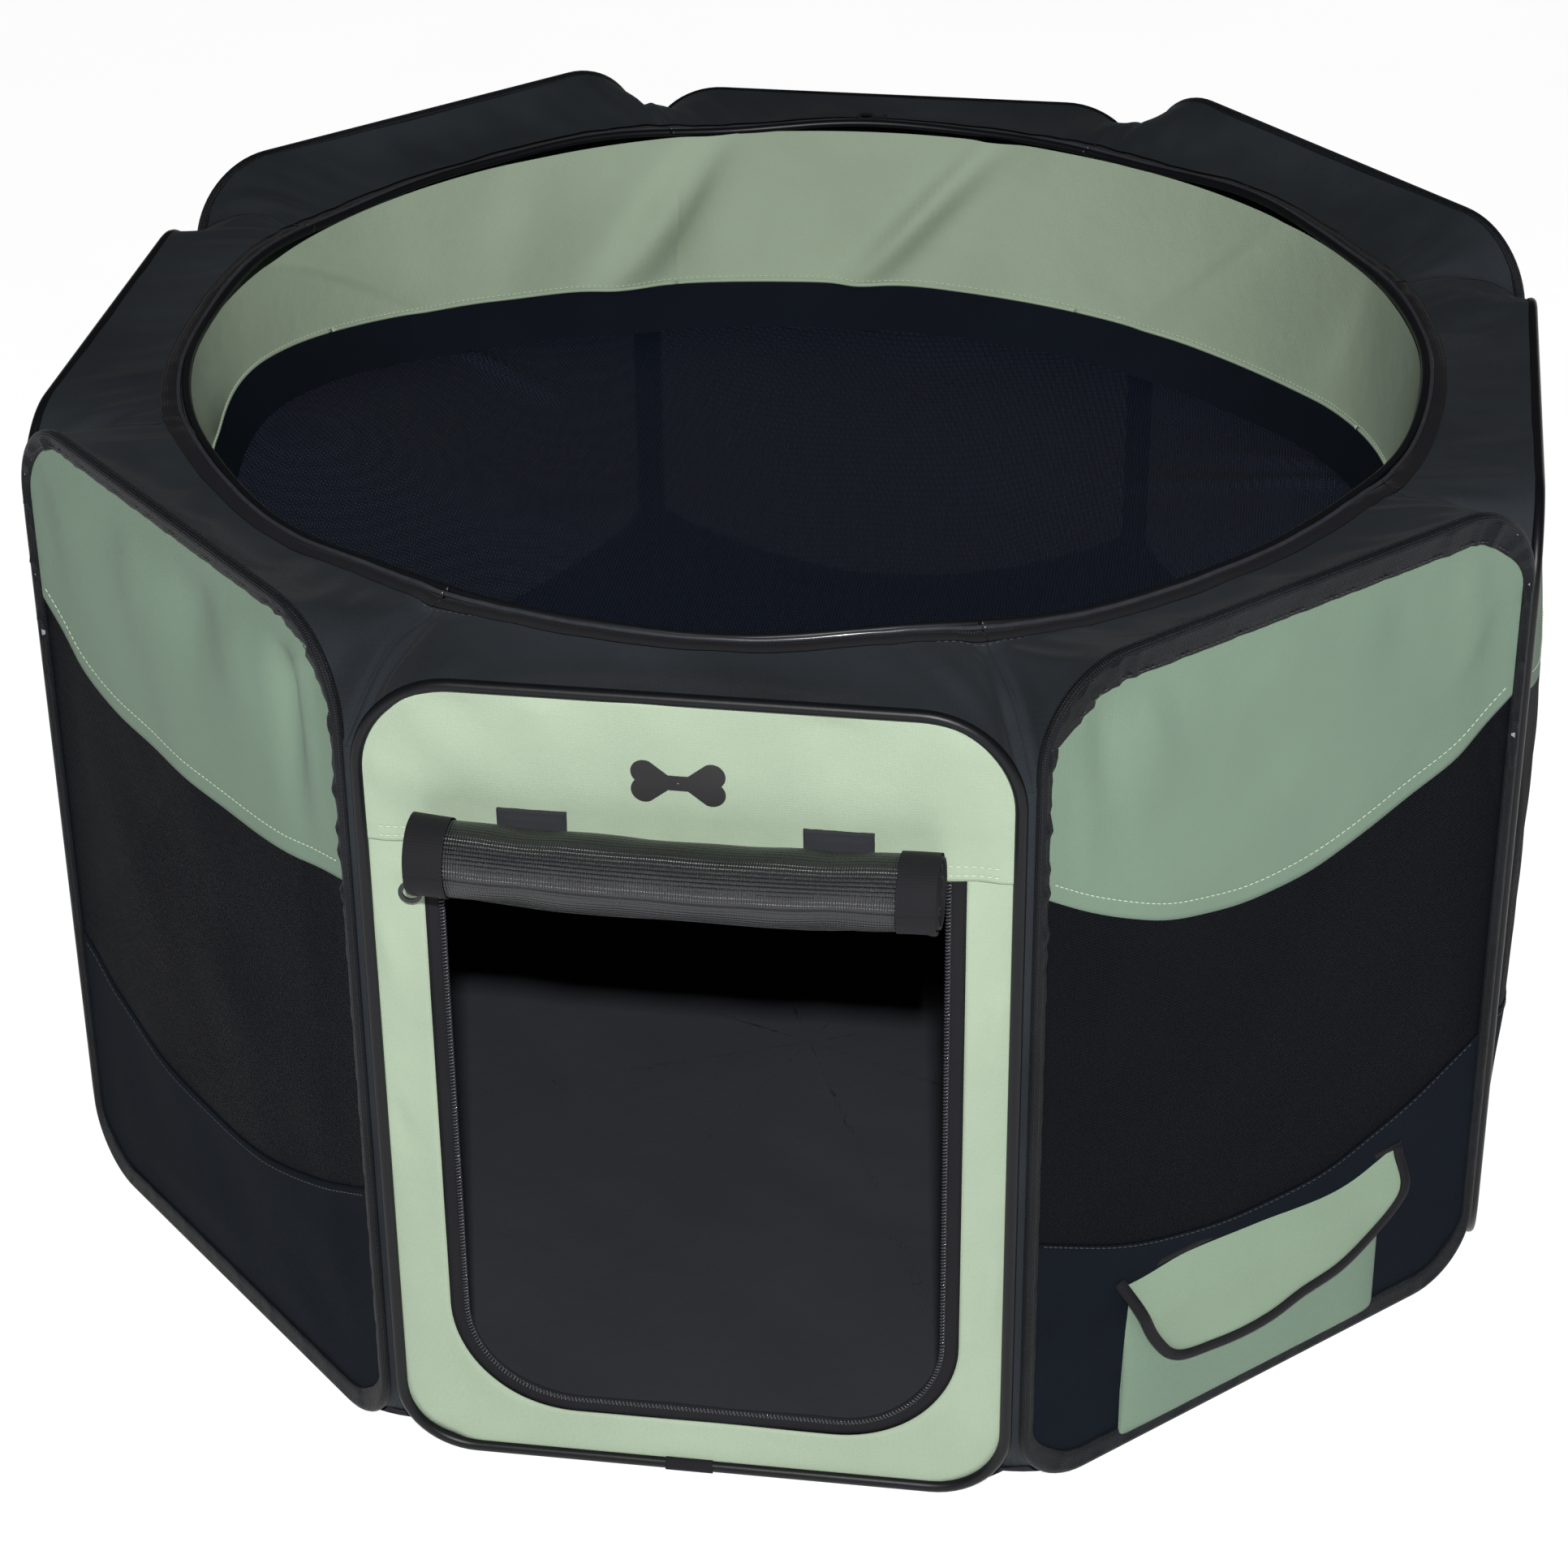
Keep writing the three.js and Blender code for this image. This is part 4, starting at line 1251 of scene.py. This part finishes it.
def make_flap():
    edge = smooth_line(FLAP_EDGE, 110)
    top_u = np.linspace(FLAP_EDGE[0, 0], FLAP_EDGE[-1, 0], 110)
    t = np.linspace(0, 1, 26)[:, None]
    u, z = between(edge[None, :, 0], top_u[None, :], t), between(edge[None, :, 1], FLAP_TOP, t)
    points = place(POCKET_SIDE, u, flap_out(u, z), z)
    # The flap uses the mid sage copy, painted shade.
    piece = grid_piece("cloth_pocket_flap", points, SAGE_FLAP_SHADED_COPY, pairs(u, z), 0.0010)
    area = sector_area(points)
    dress(piece, "sage_fabric", "pocket_cover", "pocket_flap")
    path = place(POCKET_SIDE, edge[:, 0], flap_out(edge[:, 0], edge[:, 1]) + 0.0001, edge[:, 1])
    along = np.gradient(path, axis=0)
    along /= np.linalg.norm(along, axis=1, keepdims=True)
    across = np.cross(everywhere(outward(POCKET_SIDE), path), along)
    across /= np.linalg.norm(across, axis=1, keepdims=True)
    away = np.cross(along, across)
    binding = sweep("flap_binding", path, across, away, BINDING_SECTION, TAPE, closed=False, caps=True)
    dress(binding, "binding", "pocket_cover")
    seam_u = np.linspace(-0.0955, 0.0915, 70)
    seam = place(POCKET_SIDE, seam_u, 0.0022, FLAP_TOP - 0.0004)
    strip = sweep("flap_seam", seam, everywhere((0, 0, 1), seam), everywhere(away[0], seam), STRIP_SECTION,
                  TAPE, closed=False, caps=True)
    dress(strip, "binding", "pocket_cover")
    return area


pocket_bag()
print("flap, square metres:", round(make_flap(), 4))

# %% [markdown]
# ## Small hard parts
# The sliders and pulls come from the frame, where they move. They only need their finish and a softened edge.

# %% Sliders and pulls
for node in ("door_slider", "door_pull", "collar_slider", "collar_pull"):
    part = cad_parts[node]
    part.data.materials.clear()
    part.data.materials.append(ENAMEL)
    soften = part.modifiers.new("soft edge", "BEVEL")
    soften.width = 0.0003
    soften.segments = 2
print("hard parts finished: 4")

# %% [markdown]
# The front hoop's wire ends meet under a short sleeve of tape. It is a round section swept along the wire.

# %% Wire joint
def make_clip():
    """The crimped tape sleeve over the place where the front hoop's wire ends meet."""
    middle_u, reach, radius = -0.006, 0.0115, 0.0036
    u = np.linspace(middle_u - reach, middle_u + reach, 24)
    path = place(FRONT, u, 0.0002, WIRE_FOOT)
    piece = sweep("wire_clip", path, everywhere((0, 0, 1), path), everywhere(outward(FRONT), path),
                  rounded_section(radius, 14), TAPE, closed=False, caps=True)
    dress(piece, "binding", "panel_front")


make_clip()
print("wire joint covered")

# %% [markdown]
# ## Stitching
# A lockstitch is a row of short threads, each sunk a little into the cloth at its ends. One helper lays a row
# along any line of points; all the stitches of a row are one mesh.

# %% Stitching
STITCH, STITCH_GAP, THREAD = 0.0026, 0.0008, 0.00032
HEM_TO_STITCH, SEAM_TO_STITCH, POCKET_SEAM_TO_STITCH = 0.009, 0.004, 0.0012
HEADER_ROW_GAP = 0.0045
COLLAR_STITCH_SHARE = 0.84


def stitch_row(name, line, material, body, squash_k=None):
    """Stitches along a line of points in the pen's frame."""
    line = np.asarray(line, float)
    run = run_along(line)
    count = int(run[-1] / (STITCH + STITCH_GAP))
    starts = np.arange(count) * run[-1] / count
    turn = np.linspace(0, math.tau, 5)[:-1]
    points, faces = [], []
    for start in starts:
        at = start + np.array([0.0, 0.25, 0.75, 1.0]) * STITCH
        centre = np.stack([np.interp(at, run, line[:, i]) for i in range(3)], axis=-1)
        along = centre[-1] - centre[0]
        along /= np.linalg.norm(along)
        side = np.cross(along, (0.13, 0.21, 0.97))
        side /= np.linalg.norm(side)
        over = np.cross(side, along)
        base = len(points)
        for c, r in zip(centre, (0.35, 1.0, 1.0, 0.35)):
            points += [c + THREAD * r * (side * math.cos(a) + over * math.sin(a)) for a in turn]
        for ring in range(base, base + 12, 4):
            for i, j in ((0, 1), (1, 2), (2, 3), (3, 0)):
                faces.append((ring + i, ring + j, ring + 4 + j, ring + 4 + i))
        faces += [(base + 3, base + 2, base + 1, base), (base + 12, base + 13, base + 14, base + 15)]
    piece = mesh_piece(name, points, faces, material)
    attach(piece, body)
    if squash_k is not None:
        flatten_with_fold(piece, squash_k)
    return piece


STITCHED = COLUMNS[np.abs(COLUMNS) < HOOP_SIDE - 0.0055]
for k in range(1, SIDES):
    hem = hem_line(k, STITCHED) + HEM_TO_STITCH
    below = POCKET_SEAM_TO_STITCH if k == POCKET_SIDE else SEAM_TO_STITCH
    seam = arc(STITCHED, SEAM_END, SEAM_MIDDLE) - below
    for edge, z, thread in (("hem", hem, THREAD_SAGE), ("seam", seam, THREAD_BLACK)):
        line = place(k, STITCHED, relief(k, STITCHED, z) + THICK_CLOTH, z)
        stitch_row(f"stitch_{edge}_{NAMES[k]}", line, thread, f"panel_{NAMES[k]}")
for index, level in enumerate((HEADER_SEAM, HEADER_SEAM + HEADER_ROW_GAP)):
    z = np.full(STITCHED.shape, level)
    line = place(FRONT, STITCHED, front_relief(STITCHED, z) + 0.0011, z)
    stitch_row(f"stitch_header_{index}", line, THREAD_SAGE, "panel_front")
for k in range(SIDES):
    line = collar_line(k, COLLAR_STITCH_SHARE, 0.0003)
    stitch_row(f"stitch_collar_0_{NAMES[k]}", line, THREAD_BLACK, f"panel_{NAMES[k]}", squash_k=k)
for k in BINDING_TOP:
    points, normals = hoop_path(k)
    upper = points[:, 1] > wire_top(k) - 0.5 * CROWN
    inset = (points - normals * (binding_width(k, points[:, 1]) - 0.0016)[:, None])[upper]
    line = place(k, inset[:, 0], 0.0018, inset[:, 1])
    stitch_row(f"stitch_binding_{NAMES[k]}", line, THREAD_BLACK, f"panel_{NAMES[k]}")
print("stitching laid")

# %% [markdown]
# ## The top cover
# The opening is closed by a cover that zips to the collar. It is cut deeper than it is flat: a sage band hangs
# from the zip like the side of a drum, a black border is sewn under it, and a disc of net makes its base. The
# band is slack, so long folds run down it at a slant. Each fold is given by where it starts and where it
# ends, as angles round the pen. The hem doesn't hang level, because the cover is pulled to one
# side, and its height round the pen is a smooth curve through a few measured places.

# %% Cover shape
HEM_ANGLES = [14, 29, 45, 70, 98, 115, 125, 139, 153, 166, 178, 200, 235, 275, 320]
HEM_HEIGHTS = [0.354, 0.345, 0.3375, 0.3370, 0.3385, 0.3425, 0.3475, 0.3560, 0.3695, 0.383, 0.391, 0.385, 0.362,
               0.346, 0.346]
BORDER, ZIP_DROP = 0.026, 0.003
NET_MIDDLE_LEVEL = 0.316
NET_CREASES = [((0.27, 0.10), (0.08, 0.13), 0.004), ((0.26, 0.13), (0.13, 0.19), 0.003),
               ((-0.23, 0.19), (-0.12, 0.15), 0.004)]
COVER_RADIUS, HEM_RADIUS, NET_RADIUS = 0.3128, 0.306, 0.2965
BAND_FOLDS = [(108.5, 119.5, 3.2, -0.0125), (104.5, 114.0, 3.0, 0.0050), (78.4, 92.5, 2.0, -0.0110),
              (74.5, 88.5, 2.6, 0.0050), (41.0, 58.5, 1.6, -0.0026), (128.0, 131.0, 4.5, -0.0045),
              (165.0, 143.0, 2.2, -0.0032), (24.0, 30.0, 4.0, 0.003), (200.0, 188.0, 4.0, -0.005),
              (232.0, 244.0, 4.5, -0.006), (268.0, 255.0, 5.0, 0.005), (300.0, 312.0, 4.0, -0.006),
              (340.0, 331.0, 4.5, 0.005)]


def hem_height(degrees):
    """Height of the cover's hem round the pen, from its measured places, with their corners taken off."""
    spread = np.linspace(-7, 7, 9)
    return sum(np.interp(np.asarray(degrees, float) + turn, HEM_ANGLES, HEM_HEIGHTS, period=360)
               for turn in spread) / len(spread)


def cover_point(degrees, v):
    """The cover from the zip (v 0) over the hem (v 1) and its border (v 2) to the middle (v 3)."""
    degrees, v = np.broadcast_arrays(np.asarray(degrees, float), np.asarray(v, float))
    hem = hem_height(degrees)
    fall, border, base = np.clip(v, 0, 1), np.clip(v - 1, 0, 1), np.clip(v - 2, 0, 1)
    radius = (COVER_RADIUS + (HEM_RADIUS - COVER_RADIUS) * fall + (NET_RADIUS - HEM_RADIUS) * border)
    z = RING_HEIGHT - ZIP_DROP + (hem - RING_HEIGHT + ZIP_DROP) * fall - BORDER * border
    for top, foot, width, depth in BAND_FOLDS:
        middle = top + (foot - top) * fall
        away = (degrees - middle + 180) % 360 - 180
        flare = width * (1 + 0.7 * fall) * np.where(away > 0, 0.6, 1.3)
        fullness = 0.2 + 0.8 * np.sin(np.minimum(v, 1.1) / 1.1 * math.pi)
        radius = radius + depth * np.exp(-(away / flare) ** 2) * fullness
    rad = np.radians(degrees)
    radius = radius * (1 - base)
    x, y = radius * np.cos(rad), radius * np.sin(rad)
    dish = -0.016 * np.sin(base * math.pi / 2) + ripples(55, x, y, 0.16, 0.0035) * smoothstep(base * 4)
    level = between(hem - BORDER, NET_MIDDLE_LEVEL, smoothstep(base * 1.2))
    z = np.where(base > 0, level + dish, z)
    for start, end, height in NET_CREASES:
        z = z + np.where(base > 0, crease(x, y, start, end, 0.007, height), 0)
    return pairs(x, y, z)


def cover_slice(k):
    """The angles that belong to panel k's slice of the cover."""
    middle = -90 + 45 * k
    return np.linspace(middle - 22.5, middle + 22.5, 61)[None, :]


def make_cover(k):
    label, body = NAMES[k], f"panel_{NAMES[k]}"
    degrees = cover_slice(k)
    run = np.radians(degrees) * COVER_RADIUS
    for part, low, high, rows, material, slot_name in (("band", 0, 1, 34, SAGE, "sage_fabric"),
                                                       ("border", 1, 2, 12, NAVY_BLACK, "charcoal_fabric"),
                                                       ("net", 2, 3, 60, COVER_NET, "black_mesh")):
        v = np.linspace(low, high, rows)[:, None]
        points = cover_point(degrees, v)
        uv = points[..., :2] if part == "net" else pairs(run, -v * 0.1)
        piece = mesh_piece(f"cover_{part}_{label}", points, quads(rows, points.shape[1])[:, ::-1], material, uv)
        dress(piece, slot_name, body)
        flatten_with_fold(piece, k)
    if k == FRONT:
        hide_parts("cover_band")
        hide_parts("cover_net")
    hem = cover_point(degrees[0], np.full(degrees.shape[1], 0.97))
    hem *= np.array([0.998, 0.998, 1.0])
    stitch_row(f"stitch_cover_{label}", hem, THREAD_SAGE, body, squash_k=k)
    lip = cover_point(degrees[0], np.full(degrees.shape[1], 1.0))
    across, up_way = ring_frame(lip)
    roll = sweep(f"cover_hem_{label}", lip, across, up_way, rounded_section(0.0011, 8), SAGE,
                 closed=False, caps=True)
    dress(roll, "sage_fabric", body)
    flatten_with_fold(roll, k)


for k in range(SIDES):
    make_cover(k)
print("cover hem from", round(min(HEM_HEIGHTS), 3), "to", round(max(HEM_HEIGHTS), 3), "metres up")

# %% [markdown]
# ## Printed mark
# A plain bone shape is printed on the header. It is a thin skin that lies on the cloth's own relief.

# %% Printed mark
def bone(middle_u, middle_z, length, knob):
    """A bone's outline filled as a fan: two knobs at each end of a bar."""
    turn = np.linspace(0, math.tau, 240, endpoint=False)
    reach = []
    for a in turn:
        direction = np.array([math.cos(a), math.sin(a)])
        r = np.linspace(0, length, 500)
        u, z = direction[0] * r, direction[1] * r
        inside = (np.abs(u) < length / 2) & (np.abs(z) < knob * 0.62)
        for su in (-1, 1):
            for sz in (-1, 1):
                inside |= np.hypot(u - su * length / 2, z - sz * knob * 0.72) < knob
        reach.append(r[np.nonzero(inside)[0].max()] if inside.any() else 0)
    rings = np.linspace(0.02, 1, 9)[:, None]
    reach = np.array(reach)[None, :]
    u = middle_u + rings * reach * np.cos(turn)
    z = middle_z + rings * reach * np.sin(turn)
    points = place(FRONT, u, front_relief(u, z) + 0.00095, z)
    piece = mesh_piece("printed_bone", points, quads(*points.shape[:2], round_columns=True), PRINT)
    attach(piece, "panel_front")


bone(middle_u=-0.003, middle_z=0.388, length=0.030, knob=0.0062)
print("mark printed")

# %% [markdown]
# ## Measure
# The box round the finished pen is set beside the box of the plain frame. The two should be nearly the same.

# %% Finish
new_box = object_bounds()
for label, box in (("cad box", cad_box), ("scene box", new_box)):
    print(label, [[round(v, 4) for v in c] for c in box])
